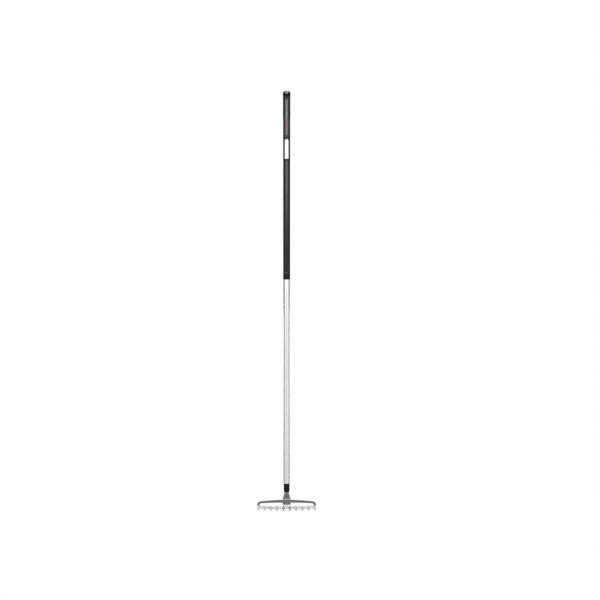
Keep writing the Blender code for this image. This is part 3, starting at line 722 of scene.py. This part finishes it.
grip_outline = eased([
    (CORE_RADIUS + FIT, GRIP_TOP),
    (GRIP_RADIUS, GRIP_TOP, GRIP_EDGE),
    (GRIP_RADIUS, GRIP_BOTTOM, GRIP_EDGE),
    (CORE_RADIUS + FIT, GRIP_BOTTOM),
], steps=GRIP_EDGE_STEPS)
grip_profile = []
for radius, height in divided(grip_outline, GRIP_FINENESS):
    outside = radius > CORE_RADIUS + GRIP_SKIN
    drawn_in = GRIP_RADIUS - grip_radius(height) if outside else 0
    grip_profile.append((radius - drawn_in, height))

soft_rubber = new_finish("soft_black_rubber")
rubber_grain = soft_rubber.noise(1500, 3, 0.65)
rubber_cloud = soft_rubber.noise(60, 3, 0.6)
grip_across, _, grip_height = soft_rubber.place_parts()
# Painted highlight: a warm sheen is painted into the colour of the waist's front and back.
waist = grip_height.ramp(*SHEEN_FROM) * grip_height.ramp(*SHEEN_TO, 1, 0)
sheen_front_and_back = grip_across.size().ramp(*SHEEN_ACROSS, 1, 0.15)
painted_warm_sheen = waist * (0.55 + rubber_cloud * 0.45) * sheen_front_and_back
matte_lip = grip_height.ramp(*LIP_MATTE, 1, 0) * 0.28
matte_top = grip_height.ramp(*TOP_MATTE) * 0.6
shoulder_rub = grip_height.ramp(*SHOULDER_FROM) * grip_height.ramp(*SHOULDER_TO, 1, 0) * 0.1
rubber_dullness = 0.26 + rubber_cloud.ramp(0.3, 0.7) * 0.06 + painted_warm_sheen * 0.06
rim_dullness = soft_rubber.glancing() * 0.4
soft_rubber.surface({
    "Base Color": soft_rubber.blend(painted_warm_sheen, RUBBER_BLACK, RUBBER_PAINTED_SHEEN),
    "Roughness": rubber_dullness + rim_dullness + matte_lip + matte_top - shoulder_rub,
    "Specular IOR Level": 0.52,
    "Normal": soft_rubber.bump(rubber_grain, 0.00003),
})
grip = add_piece("soft_grip", turned(grip_profile, closed=True), soft_rubber)
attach(grip, "root")
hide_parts("upper_grip")


# ----------------------------------------
# End cap: a half gloss black moulding on a stem that is pressed into the hanger's core. Its top is
# rounded, and a slanted face in front has a shallow round seat for the disc.
CAP_RADIUS = 0.01485
CAP_BOTTOM = GRIP_TOP + FIT
CAP_HEIGHT = 0.021
CAP_TOP = CAP_BOTTOM + CAP_HEIGHT
CAP_DOME = 0.01
CAP_SLANT = math.radians(52)
CAP_LIP = 0.003
CAP_SLANT_EDGE = 0.0022
CAP_RINGS = 56
CAP_HALVINGS = 40
STEM_LEAD = 0.0005
DISC_RADIUS = 0.0068
DISC_RISE = 0.0031
DISC_THICKNESS = 0.0016
DISC_CROWN = 0.0005
SEAT_CLEAR = 0.004
SEAT_FLARE = 0.0012
SEAT_FLARE_TOP = 0.0002
SEAT_FLARE_FOOT = -0.0004
CAP_BLACK = (0.006, 0.0044, 0.004, 1)
CAP_WORN = (0.013, 0.0105, 0.0098, 1)

slant_run = (CAP_HEIGHT - CAP_LIP) / math.tan(CAP_SLANT)
slant_middle = Vector((0, -CAP_RADIUS + slant_run / 2, CAP_TOP - (CAP_HEIGHT - CAP_LIP) / 2))
slant_normal = Vector((0, -math.sin(CAP_SLANT), math.cos(CAP_SLANT)))
disc_middle = slant_middle + DISC_RISE * Vector((0, math.cos(CAP_SLANT), math.sin(CAP_SLANT)))
disc_place = Matrix.Translation(disc_middle) @ Matrix.Rotation(CAP_SLANT, 4, "X")


def outside_cap(point):
    """How far a point lies outside the cap's domed body, and less than 0 inside it."""
    across = math.hypot(point.x, point.y) / CAP_RADIUS
    up = max(point.z - (CAP_TOP - CAP_DOME), 0) / CAP_DOME
    reach = math.hypot(across, up)
    body = (reach - 1) * reach / max(math.hypot(across / CAP_RADIUS, up / CAP_DOME), 0.001)
    slant = (point - slant_middle).dot(slant_normal)
    overlap = max(CAP_SLANT_EDGE - abs(body - slant), 0) / CAP_SLANT_EDGE
    return max(body, slant) + overlap * overlap * CAP_SLANT_EDGE / 4


def cap_surface(way):
    """Where a ray from the middle of the cap's foot comes out of it."""
    start = Vector((0, 0, CAP_BOTTOM))
    near, far = 0.0, 2 * CAP_HEIGHT
    for _ in range(CAP_HALVINGS):
        middle = (near + far) / 2
        if outside_cap(start + way * middle) > 0:
            far = middle
        else:
            near = middle
    return start + way * near


stem_foot = CAP_BOTTOM - STEM_LENGTH
cap_rings = [
    [Vector((0, 0, stem_foot))],
    circle(STEM_RADIUS - STEM_LEAD, stem_foot),
    circle(STEM_RADIUS, stem_foot + STEM_LEAD),
    circle(STEM_RADIUS, CAP_BOTTOM),
]
for step in range(CAP_RINGS):
    rise = math.pi / 2 * step / CAP_RINGS
    cap_rings.append([cap_surface(way) for way in circle(math.cos(rise), math.sin(rise))])
cap_rings.append([cap_surface(Vector((0, 0, 1)))])

seat_cutter = turned([
    (0, SEAT_CLEAR),
    (DISC_RADIUS + SEAT_FLARE, SEAT_CLEAR),
    (DISC_RADIUS + SEAT_FLARE, SEAT_FLARE_TOP),
    (DISC_RADIUS + FIT, SEAT_FLARE_FOOT),
    (DISC_RADIUS + FIT, -DISC_THICKNESS - FIT),
    (0, -DISC_THICKNESS - FIT),
])
seat_cutter.transform(disc_place)
cap_mesh = carved(skinned(cap_rings), seat_cutter)

gloss_plastic = new_finish("black_cap_plastic")
cap_scuff = gloss_plastic.noise(240, 4, 0.7).ramp(0.5, 0.72)
cap_ripple = gloss_plastic.noise(300, 2, 0.5, shift=(3, 3, 3))
cap_hair = gloss_plastic.hairlines(420, (0.2, 1, 1), (8, 1, 3))
gloss_plastic.surface({
    "Base Color": gloss_plastic.blend(cap_scuff * 0.5, CAP_BLACK, CAP_WORN),
    "Roughness": 0.46 + cap_scuff * 0.1 + cap_hair * 0.08,
    "Specular IOR Level": 0.1,
    "Normal": gloss_plastic.bump(cap_ripple * 0.5 - cap_hair * 0.3, 0.00003),
})
cap = add_piece("slanted_cap", cap_mesh, gloss_plastic)
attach(cap, "root")
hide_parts("end_cap")


# ----------------------------------------
# Disc: a plain warm pale disc, thin and slightly crowned, with a faint metallic shine. It is glued
# into the seat in the cap's slanted face.
DISC_STEPS = 14
DISC_FACE = 0.94
DISC_EDGE = 0.0003
DISC_BACK_EDGE = 0.0002
DISC_COLOUR = (0.46, 0.38, 0.345, 1)
DISC_SHADE = (0.36, 0.29, 0.26, 1)

disc_profile = []
for share in shares(DISC_STEPS):
    out = share * DISC_FACE
    disc_profile.append((DISC_RADIUS * out, DISC_CROWN * (1 - out ** 2)))
disc_mesh = turned(disc_profile + [
    (DISC_RADIUS, 0, DISC_EDGE),
    (DISC_RADIUS, -DISC_THICKNESS, DISC_BACK_EDGE),
    (0, -DISC_THICKNESS),
])
disc_mesh.transform(disc_place)

disc_finish = new_finish("warm_disc")
disc_cloud = disc_finish.noise(420, 4, 0.6)
disc_grain = disc_finish.noise(3200, 2, 0.5)
disc_finish.surface({
    "Base Color": disc_finish.blend(disc_cloud.ramp(0.35, 0.7), DISC_COLOUR, DISC_SHADE),
    "Metallic": 0.25,
    "Roughness": 0.36 + disc_cloud * 0.1,
    "Normal": disc_finish.bump(disc_grain, 0.00002),
})
disc = add_piece("plain_disc", disc_mesh, disc_finish)
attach(disc, "root")
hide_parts("cap_disc")


# ----------------------------------------
# Bush: a black moulded plug, pressed into the shaft's lower end. A thin flange stops it there, and
# its long nose tapers down to the neck, whose tang it holds.
BUSH_INSERT = 0.06
BUSH_LEAD = 0.0013
BUSH_TOP = TUBE_BOTTOM + BUSH_INSERT
FLANGE_TOP = TUBE_BOTTOM - FIT
FLANGE_HEIGHT = 0.005
FLANGE_RADIUS = 0.0118
FLANGE_EDGE = 0.0003
FLANGE_FOOT_EDGE = 0.0005
SKIRT_TOP = FLANGE_TOP - FLANGE_HEIGHT
SKIRT_STEP = 0.0004
SKIRT_LENGTH = 0.028
SKIRT_RADIUS = 0.0115
SKIRT_LOW_RADIUS = 0.0112
BUSH_BOTTOM = SKIRT_TOP - SKIRT_LENGTH
BUSH_NOSE = 0.0095
NOSE_STEPS = 12
NECK_TOP_RADIUS = 0.0087
TANG_RADIUS = 0.005

bush_profile = [
    (TANG_RADIUS + FIT, BUSH_BOTTOM),
    (TANG_RADIUS + FIT, BUSH_TOP),
    (SPIGOT_RADIUS, BUSH_TOP, BUSH_LEAD),
    (SPIGOT_RADIUS, FLANGE_TOP),
    (FLANGE_RADIUS, FLANGE_TOP, FLANGE_EDGE),
    (FLANGE_RADIUS, SKIRT_TOP, FLANGE_FOOT_EDGE),
    (SKIRT_RADIUS, SKIRT_TOP - SKIRT_STEP),
]
for share in shares(NOSE_STEPS):
    angle = math.pi / 2 * share
    radius = NECK_TOP_RADIUS + (SKIRT_LOW_RADIUS - NECK_TOP_RADIUS) * math.cos(angle)
    bush_profile.append((radius, BUSH_BOTTOM + BUSH_NOSE * (1 - math.sin(angle))))
bush = add_piece("tapered_bush", turned(bush_profile, closed=True), dull_plastic)
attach(bush, "root")
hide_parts("tang_bush")


# ----------------------------------------
# Neck: a steel forging. Its tang goes up into the bush; below, a round shoulder flares to a flat
# blade, which laps over the bow as a strap and is welded to the bar by its foot. Grey coated.
NECK_TOP = BUSH_BOTTOM - FIT
TANG_LENGTH = 0.075
TANG_LEAD = 0.0015
NECK_HALF_WIDTH = 0.0155
NECK_EDGE = 0.0006
NECK_FLARE_LENGTH = 0.0254
NECK_FLARE_EASE = 0.95
BLADE = 0.003
BLADE_SQUARENESS = 6
ROUND = 2
BOW_DEPTH = 0.006
STRAP = BOW_DEPTH / 2 + 0.003
STRAP_SQUARENESS = 8
STRAP_HALF_HEIGHT = 0.01
STRAP_LEDGE = 0.0002
STRAP_SLOPE = 0.006
STRAP_RISE = 0.0052
STRAP_TOP = NECK_TOP - NECK_FLARE_LENGTH
BEND_HEIGHT = STRAP_TOP - 2 * STRAP_HALF_HEIGHT
BEND_RADIUS = 0.009
BEND_ANGLE = math.radians(25)
BAR_WIDTH = 0.01
BAR_THICKNESS = 0.0045
BAR_SAG = 0.0035
HEAD_WIDTH = 0.231
BAR_ARC_RADIUS = (HEAD_WIDTH * HEAD_WIDTH / 4 + BAR_SAG * BAR_SAG) / (2 * BAR_SAG)
ARM_WIDTH = 0.0108
ARM_LENGTH = 0.0039
ARM_CENTRE = (HEAD_WIDTH - ARM_WIDTH) / 2
BOW_RISE = 0.005
BOW_CORNER = 0.0051 + ARM_WIDTH / 2
BOW_MID_HEIGHT = 0.0122
BOW_END_HEIGHT = 0.0082
ARCH_STEPS = 40
CORNER_STEPS = 18
FLARE_STEPS = 26
STRAP_STEPS = 8
BEND_STEPS = 10
NECK_POINTS = 64
RELIEF_FLOOR = BLADE - 0.0014
RELIEF_WALL = 0.0001
RELIEF_LENGTH = 0.0175
RELIEF_WIDTH = 0.018
RELIEF_RISE = 0.0025
RELIEF_CORNER = 0.0012
RELIEF_TOP_CORNER = 0.0016
RELIEF_CORNER_STEPS = 6
RELIEF_SIDE_GROWTH = 1.6
RELIEF_TOP_GROWTH = 2.6
RELIEF_FINENESS = 0.0012
RELIEF_ROLL = 0.0007
RELIEF_ROLL_SHARE = 0.9
RELIEF_ROLL_SPREAD = 1.2
RELIEF_ROLL_RISE = 0.002
BACK, UP = 1, 2
FOOT_HIGHLIGHT = (BEND_HEIGHT, BEND_HEIGHT - 0.004, 0, 0.25)
COAT_GREY = (0.235, 0.235, 0.238, 1)
COAT_PALE = (0.3, 0.3, 0.302, 1)
COAT_DARK = (0.17, 0.168, 0.166, 1)
PAINTED_HIGHLIGHT_STEEL = (0.55, 0.545, 0.535, 1)


def on_head(across, down, out):
    """A point of the head: across it, down its face from the bend, and out of it to the front.

    The face is upright above the bend, then turns forward round it and runs on straight."""
    angle = min(max(down / BEND_RADIUS, 0), BEND_ANGLE)
    past = down - BEND_RADIUS * angle
    forward = BEND_RADIUS * (1 - math.cos(angle)) + past * math.sin(angle) + out * math.cos(angle)
    drop = BEND_RADIUS * math.sin(angle) + past * math.cos(angle) - out * math.sin(angle)
    return Vector((across, -forward, BEND_HEIGHT - drop))


def bar_lift(across):
    """How far the bar's centre line has risen, at this distance from its middle."""
    return BAR_ARC_RADIUS - math.sqrt(BAR_ARC_RADIUS * BAR_ARC_RADIUS - across * across)


def bow_path():
    """The bow's middle line to the top of one arm, as stops of (across, down, heading, height)."""
    arch_radius = (ARM_CENTRE ** 2 + BOW_RISE ** 2) / (2 * BOW_RISE)
    turn = math.asin((ARM_CENTRE - BOW_CORNER) / (arch_radius - BOW_CORNER))
    path = []
    for share in shares(ARCH_STEPS):
        heading = turn * share
        height = BOW_MID_HEIGHT + (BOW_END_HEIGHT - BOW_MID_HEIGHT) * share
        down = arch_radius * (1 - math.cos(heading)) - STRAP_HALF_HEIGHT
        path.append((arch_radius * math.sin(heading), down, heading, height))
    corner_x = path[-1][0] - BOW_CORNER * math.sin(turn)
    corner_down = path[-1][1] + BOW_CORNER * math.cos(turn)
    for share in shares(CORNER_STEPS, 1):
        heading = turn + (math.pi / 2 - turn) * share
        height = BOW_END_HEIGHT + (ARM_WIDTH - BOW_END_HEIGHT) * eased_share(share)
        across = corner_x + BOW_CORNER * math.sin(heading)
        path.append((across, corner_down - BOW_CORNER * math.cos(heading), heading, height))
    return path


def section(half_width, half_height, squareness, points):
    """An outline from an ellipse at squareness 2 towards a rectangle, as (across, up) pairs."""
    outline = []
    for i in range(points):
        angle = 2 * math.pi * (i + 0.5) / points
        across = math.copysign(abs(math.cos(angle)) ** (2 / squareness), math.cos(angle))
        up = math.copysign(abs(math.sin(angle)) ** (2 / squareness), math.sin(angle))
        outline.append((half_width * across, half_height * up))
    return outline


def bow_ring(stop, side, outline):
    """A ring of (up, out) points, square to the bow at one stop, on side 1 or -1."""
    across, down, heading, _ = stop
    return [on_head(side * (across + up * math.sin(heading)), down - up * math.cos(heading), out)
            for up, out in outline]


BAR_DROP = bow_path()[-1][1] + ARM_LENGTH + FIT + BAR_WIDTH / 2 + bar_lift(ARM_CENTRE)


def bar_seat(across):
    """How far down the face a piece may reach that stands on the bar's upper edge here."""
    return BAR_DROP - bar_lift(across) - BAR_WIDTH / 2 - FIT


def flare(share):
    """The neck's half width, half depth and squareness at this share of the way down its flare."""
    spread = share ** NECK_FLARE_EASE
    half_width = NECK_TOP_RADIUS + (NECK_HALF_WIDTH - NECK_TOP_RADIUS) * spread
    depth = NECK_TOP_RADIUS + (BLADE - NECK_TOP_RADIUS) * eased_share(share)
    return half_width, depth, ROUND + (BLADE_SQUARENESS - ROUND) * share


neck_rings = []


def neck_ring(down, half_width, front, back, squareness):
    middle = (front + back) / 2
    outline = section(half_width, (front - back) / 2, squareness, NECK_POINTS)
    neck_rings.append([on_head(across, down, middle + out) for across, out in outline])


def round_ring(down, radius):
    neck_ring(down, radius, radius, -radius, ROUND)


shoulder = BEND_HEIGHT - NECK_TOP
strap_line = BEND_HEIGHT - STRAP_TOP
round_ring(shoulder - TANG_LENGTH, TANG_RADIUS - TANG_LEAD)
round_ring(shoulder - TANG_LENGTH + TANG_LEAD, TANG_RADIUS)
round_ring(shoulder, TANG_RADIUS)
round_ring(shoulder, NECK_TOP_RADIUS - NECK_EDGE)
for share in shares(FLARE_STEPS):
    half_width, depth, squareness = flare(share)
    down = shoulder + (strap_line - shoulder) * share + (0 if share else NECK_EDGE)
    neck_ring(down, half_width, depth, -depth, squareness)
for share in shares(STRAP_STEPS):
    down = strap_line + STRAP_LEDGE + STRAP_RISE * share
    front = BLADE + (STRAP - BLADE) * eased_share(share)
    neck_ring(down, NECK_HALF_WIDTH, front, -BLADE, STRAP_SQUARENESS)
for share in shares(STRAP_STEPS):
    front = STRAP + (BLADE - STRAP) * eased_share(share)
    squareness = STRAP_SQUARENESS + (BLADE_SQUARENESS - STRAP_SQUARENESS) * share
    neck_ring(STRAP_SLOPE * (share - 1), NECK_HALF_WIDTH, front, -BLADE, squareness)
bend_end = BEND_RADIUS * BEND_ANGLE
for share in shares(BEND_STEPS, 1):
    depth = BLADE + (BAR_THICKNESS / 2 - BLADE) * share
    neck_ring(bend_end * share, NECK_HALF_WIDTH, depth, -depth, BLADE_SQUARENESS)
depth = BAR_THICKNESS / 2
neck_ring(bar_seat(NECK_HALF_WIDTH), NECK_HALF_WIDTH, depth, -depth, BLADE_SQUARENESS)
neck_mesh = skinned(neck_rings)

channel_front = BOW_DEPTH / 2 + FIT
channel_back = -channel_front - NECK_TOP_RADIUS


def channel_ring(stop, side):
    """A ring of the channel that lets the bow through the strap, open to the strap's back."""
    half = stop[3] / 2 + FIT
    return bow_ring(stop, side, [(half, channel_front), (half, channel_back),
                                 (-half, channel_back), (-half, channel_front)])


arch = bow_path()[:ARCH_STEPS // 3]
channel = [channel_ring(stop, -1) for stop in reversed(arch[1:])]
channel += [channel_ring(stop, 1) for stop in arch]
neck_mesh = carved(neck_mesh, skinned(channel))


def neck_front(across, height):
    """How far forward the neck's flared front lies here."""
    share = min(max((NECK_TOP - height) / NECK_FLARE_LENGTH, 0), 1)
    half_width, depth, squareness = flare(share)
    return depth * (1 - min(abs(across) / half_width, 0.98) ** squareness) ** (1 / squareness)


def relief_ring(grow, depth):
    """The relief's outline, a triangle with round corners, this deep under the neck's front."""
    low = STRAP_TOP + RELIEF_RISE - grow
    half = RELIEF_WIDTH / 2 + grow * RELIEF_SIDE_GROWTH
    corners = [(-half, low, RELIEF_CORNER), (half, low, RELIEF_CORNER),
               (0, low + RELIEF_LENGTH + grow * RELIEF_TOP_GROWTH, RELIEF_TOP_CORNER)]
    outline = eased(corners, closed=True, steps=RELIEF_CORNER_STEPS)
    outline = divided(outline + outline[:1], RELIEF_FINENESS)[:-1]
    return [Vector((x, -max(neck_front(x, z) - depth, RELIEF_FLOOR + RELIEF_WALL), z))
            for x, z in outline]


relief_stops = rolled_mouth(RELIEF_ROLL, RELIEF_ROLL_SHARE, RELIEF_ROLL_SPREAD, RELIEF_ROLL_RISE)
relief = [relief_ring(grow, depth) for grow, depth in relief_stops]
relief.insert(0, laid_flat(relief[0], -RELIEF_FLOOR))
relief.append(laid_flat(relief[-1], -2 * NECK_TOP_RADIUS))
neck_mesh = carved(neck_mesh, skinned(relief))


def grey_coat(name, shade, metal, dull, axis, rub):
    """A grey coat of this shade and share of metal, made rougher by dull.

    A highlight of pale steel colour is painted on by a ramp along one axis: low, high, first and
    last."""
    coat = new_finish(name)
    # Painted highlight: the ramp lightens the colour towards pale steel where the face turns up to
    # the light.
    painted_highlight = coat.place_parts()[axis].ramp(*rub)
    flake = coat.noise(2300, 2, 0.7)
    hammer = coat.noise(430, 2, 0.5)
    stain = coat.noise(55, 4, 0.65, shift=(3, 6, 1)).ramp(0.48, 0.72)
    chip = coat.noise(900, 3, 0.7, shift=(9, 2, 6)).ramp(0.66, 0.72)
    grey, pale, dark = [(*(part * shade for part in colour[:3]), 1)
                        for colour in (COAT_GREY, COAT_PALE, COAT_DARK)]
    colour = coat.blend(flake.ramp(0.35, 0.68), grey, pale)
    colour = coat.blend(stain * 0.45 + chip * 0.4, colour, dark)
    coat.surface({
        "Base Color": coat.blend(painted_highlight * (0.65 + flake * 0.4), colour, PAINTED_HIGHLIGHT_STEEL),
        "Metallic": metal,
        "Roughness": 0.26 + dull + stain * 0.07 + flake * 0.06,
        "Normal": coat.bump(hammer * 0.7 + flake * 0.3 - chip * 0.5, 0.00003),
    })
    return coat


# Painted highlight: the coat turns pale below the bend, where the foot faces up to the light.
neck_coat = grey_coat("grey_coated_steel", 1.0, 0.85, 0.0, UP, FOOT_HIGHLIGHT)
neck = add_piece("flared_neck", neck_mesh, neck_coat)
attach(neck, "root")
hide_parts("neck")


# ----------------------------------------
# Bow: one steel bar, bent to a shallow arch with two round corners. It is deepest under the neck's
# strap, and its short arms widen down to the tine bar, where they are welded. Grey coated.
BOW_POINTS = 40
BOW_SQUARENESS = 5
ARM_STEPS = 8
ARM_HIGHLIGHT = (BEND_HEIGHT - 0.004, BEND_HEIGHT - 0.007, 0, 0.3)


def arm_rings(side, top):
    """Rings down an arm, the last of them cut to the arc of the bar's upper edge."""
    outline = section(ARM_WIDTH / 2, BOW_DEPTH / 2, BOW_SQUARENESS, BOW_POINTS)
    rings = []
    for share in shares(ARM_STEPS, 1):
        rings.append([])
        for up, out in outline:
            down = top + (bar_seat(ARM_CENTRE + up) - top) * share
            rings[-1].append(on_head(side * (ARM_CENTRE + up), down, out))
    return rings


def bow_outline(stop):
    return section(stop[3] / 2, BOW_DEPTH / 2, BOW_SQUARENESS, BOW_POINTS)


# Painted shade: the bow wears the neck's grey made darker. Painted highlight: its arms turn pale
# low down, where they bend up to the light.
bow_coat = grey_coat("dull_grey_coat_painted_shade", 0.7, 0.85, 0.22, UP, ARM_HIGHLIGHT)
bow_stops = bow_path()
arm_top = bow_stops[-1][1]
bow_rings = arm_rings(-1, arm_top)[::-1]
bow_rings += [bow_ring(stop, -1, bow_outline(stop)) for stop in reversed(bow_stops[1:])]
bow_rings += [bow_ring(stop, 1, bow_outline(stop)) for stop in bow_stops]
bow_rings += arm_rings(1, arm_top)
bow = add_piece("arched_bow", skinned(bow_rings), bow_coat)
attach(bow, "root")
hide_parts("bow")


# ----------------------------------------
# Tine bar: a steel strip, punched with ten holes and bent to a shallow arc. It slopes forward under
# the bow, so that it catches the light from above. Its edges are rolled. Grey coated, painted pale
# as a highlight.
BAR_CORNER = 0.002
BAR_EDGE = 0.0007
BAR_EDGE_STEPS = 3
BAR_EDGE_ANGLE = math.radians(60)
BAR_STEPS = 60
BAR_MERGE = 0.00001
BAR_FLATNESS = 0.01
TINE_COUNT = 10
TINE_END_WALL = 0.0019
SHANK_RADIUS = 0.0026
HOLE_SIDES = 32
CLAW_HIGHLIGHT = (-0.04, -0.063, 0.65, 0.95)
LAST_TINE = HEAD_WIDTH / 2 - TINE_END_WALL - FIT - SHANK_RADIUS

tine_places = [LAST_TINE * (2 * share - 1) for share in shares(TINE_COUNT - 1)]
bar_half = HEAD_WIDTH / 2
bar_stops = [(bar_half - BAR_CORNER) * (2 * share - 1) for share in shares(BAR_STEPS, 1)[:-1]]
end_low = bar_lift(bar_half) - BAR_WIDTH / 2
end_high = bar_lift(bar_half) + BAR_WIDTH / 2
bar_outline = [(x, bar_lift(x) - BAR_WIDTH / 2) for x in bar_stops]
bar_outline += [(bar_half, end_low, BAR_CORNER), (bar_half, end_high, BAR_CORNER)]
bar_outline += [(x, bar_lift(x) + BAR_WIDTH / 2) for x in reversed(bar_stops)]
bar_outline += [(-bar_half, end_high, BAR_CORNER), (-bar_half, end_low, BAR_CORNER)]
outlines = [eased(bar_outline, closed=True)]
hole = SHANK_RADIUS + FIT
hole_turns = [-2 * math.pi * i / HOLE_SIDES for i in range(HOLE_SIDES)]
for x in tine_places:
    outlines.append([(x + hole * math.cos(turn), bar_lift(x) + hole * math.sin(turn))
                     for turn in hole_turns])

bar_curve = bpy.data.curves.new("bar", "CURVE")
bar_curve.dimensions = "2D"
bar_curve.fill_mode = "BOTH"
bar_curve.extrude = BAR_THICKNESS / 2
for outline in outlines:
    spline = bar_curve.splines.new("POLY")
    spline.points.add(len(outline) - 1)
    for point, (x, y) in zip(spline.points, outline):
        point.co = (x, y, 0, 1)
    spline.use_cyclic_u = True
bar_shape = outcome(put("bar", bar_curve))
verts, edges = bar_shape.verts, bar_shape.edges
bmesh.ops.remove_doubles(bar_shape, verts=verts, dist=BAR_MERGE)
bmesh.ops.dissolve_limit(bar_shape, angle_limit=BAR_FLATNESS, verts=verts, edges=edges)
bar_holder = put("bar", mesh_of(bar_shape))
rolled = bar_holder.modifiers.new("rolled", "BEVEL")
rolled.width = BAR_EDGE
rolled.segments = BAR_EDGE_STEPS
rolled.limit_method = "ANGLE"
rolled.angle_limit = BAR_EDGE_ANGLE
bar_mesh = mesh_of(outcome(bar_holder))
bar_tilt = Matrix.Rotation(math.pi / 2 - BEND_ANGLE, 4, "X")
bar_mesh.transform(Matrix.Translation(on_head(0, BAR_DROP, 0)) @ bar_tilt)

# Painted highlight: this coat is pale steel colour nearly all over, for the light on the bar's and
# claws' tops.
highlight_painted_coat = grey_coat("grey_coat_painted_highlight", 1.0, 0.65, 0.14, BACK, CLAW_HIGHLIGHT)
bar = add_piece("sloping_bar", bar_mesh, highlight_painted_coat)
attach(bar, "root")
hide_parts("tine_bar")


# ----------------------------------------
# Tines: ten forged claws. Each has a round shank that goes through the bar and is headed over as a
# rivet behind it. The claw curves forward and down, tapers, and ends in a blunt point. Grey coated.
TINE_LENGTH = 0.0565
TINE_CROOK_LENGTH = 0.008
TINE_CROOK_ANGLE = math.radians(2)
TINE_TIP_ANGLE = math.radians(16)
TINE_ROOT_WIDTH = 0.0074
TINE_ROOT_HEIGHT = 0.008
TINE_TIP_WIDTH = 0.0056
TINE_TIP_HEIGHT = 0.0064
TINE_POINT = 0.0012
POINT_EDGE = 0.08
POINT_TAPER = 0.5
TINE_POINTS = 32
TINE_SQUARENESS = 5
CROOK_STEPS = 10
CLAW_STEPS = 26
POINT_STEPS = 6
RIVET_HEIGHT = 0.0017
RIVET_RADIUS = 0.004
RIVET_SWEEP = math.radians(86)
RIVET_STEPS = 8
ROOT_EDGE = 0.0006

claw_runs = (
    (TINE_CROOK_LENGTH, BEND_ANGLE, -TINE_CROOK_ANGLE, CROOK_STEPS),
    (TINE_LENGTH - TINE_CROOK_LENGTH, -TINE_CROOK_ANGLE, -TINE_TIP_ANGLE, CLAW_STEPS),
)
claw_stops = [(0, 0, BEND_ANGLE, 0)]
for length, start, end, steps in claw_runs:
    for i in range(steps):
        y, z, _, share = claw_stops[-1]
        heading = start + (end - start) * (i + 0.5) / steps
        y -= length / steps * math.cos(heading)
        z += length / steps * math.sin(heading)
        angle = start + (end - start) * (i + 1) / steps
        claw_stops.append((y, z, angle, share + length / steps / TINE_LENGTH))
claw_rings = []


def claw_ring(stop, ahead, half_width, half_height, squareness):
    """One ring square to the claw's axis at this stop, moved ahead along it."""
    y, z, angle, _ = stop
    y -= ahead * math.cos(angle)
    z += ahead * math.sin(angle)
    claw_rings.append([Vector((across, y + up * math.sin(angle), z + up * math.cos(angle)))
                       for across, up in section(half_width, half_height, squareness, TINE_POINTS)])


root = claw_stops[0]
through = -BAR_THICKNESS - 2 * FIT
for share in shares(RIVET_STEPS):
    angle = RIVET_SWEEP * (1 - share)
    size = RIVET_RADIUS * math.cos(angle)
    claw_ring(root, through - RIVET_HEIGHT * math.sin(angle), size, size, ROUND)
claw_ring(root, through, SHANK_RADIUS, SHANK_RADIUS, ROUND)
claw_ring(root, 0, SHANK_RADIUS, SHANK_RADIUS, ROUND)
claw_ring(root, 0, TINE_ROOT_WIDTH / 2 - ROOT_EDGE, TINE_ROOT_HEIGHT / 2 - ROOT_EDGE,
          TINE_SQUARENESS)
for stop in claw_stops:
    half_width = (TINE_ROOT_WIDTH + (TINE_TIP_WIDTH - TINE_ROOT_WIDTH) * stop[3]) / 2
    half_height = (TINE_ROOT_HEIGHT + (TINE_TIP_HEIGHT - TINE_ROOT_HEIGHT) * stop[3]) / 2
    claw_ring(stop, ROOT_EDGE if stop is root else 0, half_width, half_height, TINE_SQUARENESS)
for share in shares(POINT_STEPS, 1):
    angle = math.pi / 2 * share
    shrink = TINE_POINT * (POINT_EDGE + POINT_TAPER * (1 - math.cos(angle)))
    claw_ring(claw_stops[-1], TINE_POINT * math.sin(angle), TINE_TIP_WIDTH / 2 - shrink,
              TINE_TIP_HEIGHT / 2 - shrink, TINE_SQUARENESS)

row_place = on_head(0, BAR_DROP, BAR_THICKNESS / 2 + FIT)
row = Rule("tine_row", {
    "Tines": TINE_COUNT,
    "Last place": LAST_TINE,
    "Bar arc radius": BAR_ARC_RADIUS,
    "Slope": BEND_ANGLE,
    "Row height": row_place.z,
    "Row forward": row_place.y,
    "Finish": highlight_painted_coat.owner,
})
row_settings = {"mode": "OFFSET", "count_mode": "TOTAL"}
row_points = row.node("GeometryNodeMeshLine", row_settings, {"Count": row.given("Tines")})
row_share = row.node("GeometryNodeInputIndex") * 2 / (row.given("Tines") - 1) - 1
row_x = row_share * row.given("Last place")
arc_radius = row.given("Bar arc radius")
row_lift = arc_radius - row.maths("SQRT", arc_radius * arc_radius - row_x * row_x)
row_y = row.given("Row forward") + row_lift * row.maths("SINE", row.given("Slope"))
row_z = row.given("Row height") + row_lift * row.maths("COSINE", row.given("Slope"))
row_spot = row.node("ShaderNodeCombineXYZ", {}, {0: row_x, 1: row_y, 2: row_z})
row_values = {"Geometry": row_points, "Position": row_spot}
row_set = row.node("GeometryNodeSetPosition", {}, row_values)
row_values = {"Points": row_set, "Instance": row.given("Geometry")}
row.end(row.node("GeometryNodeInstanceOnPoints", {}, row_values))
tines_mesh = row.shaped(skinned(claw_rings))
# The claws wear the same coat, with its painted highlight.
tines = add_piece("claw_tines", tines_mesh, highlight_painted_coat)
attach(tines, "root")
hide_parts(*[f"tine_{number:02d}" for number in range(1, TINE_COUNT + 1)])
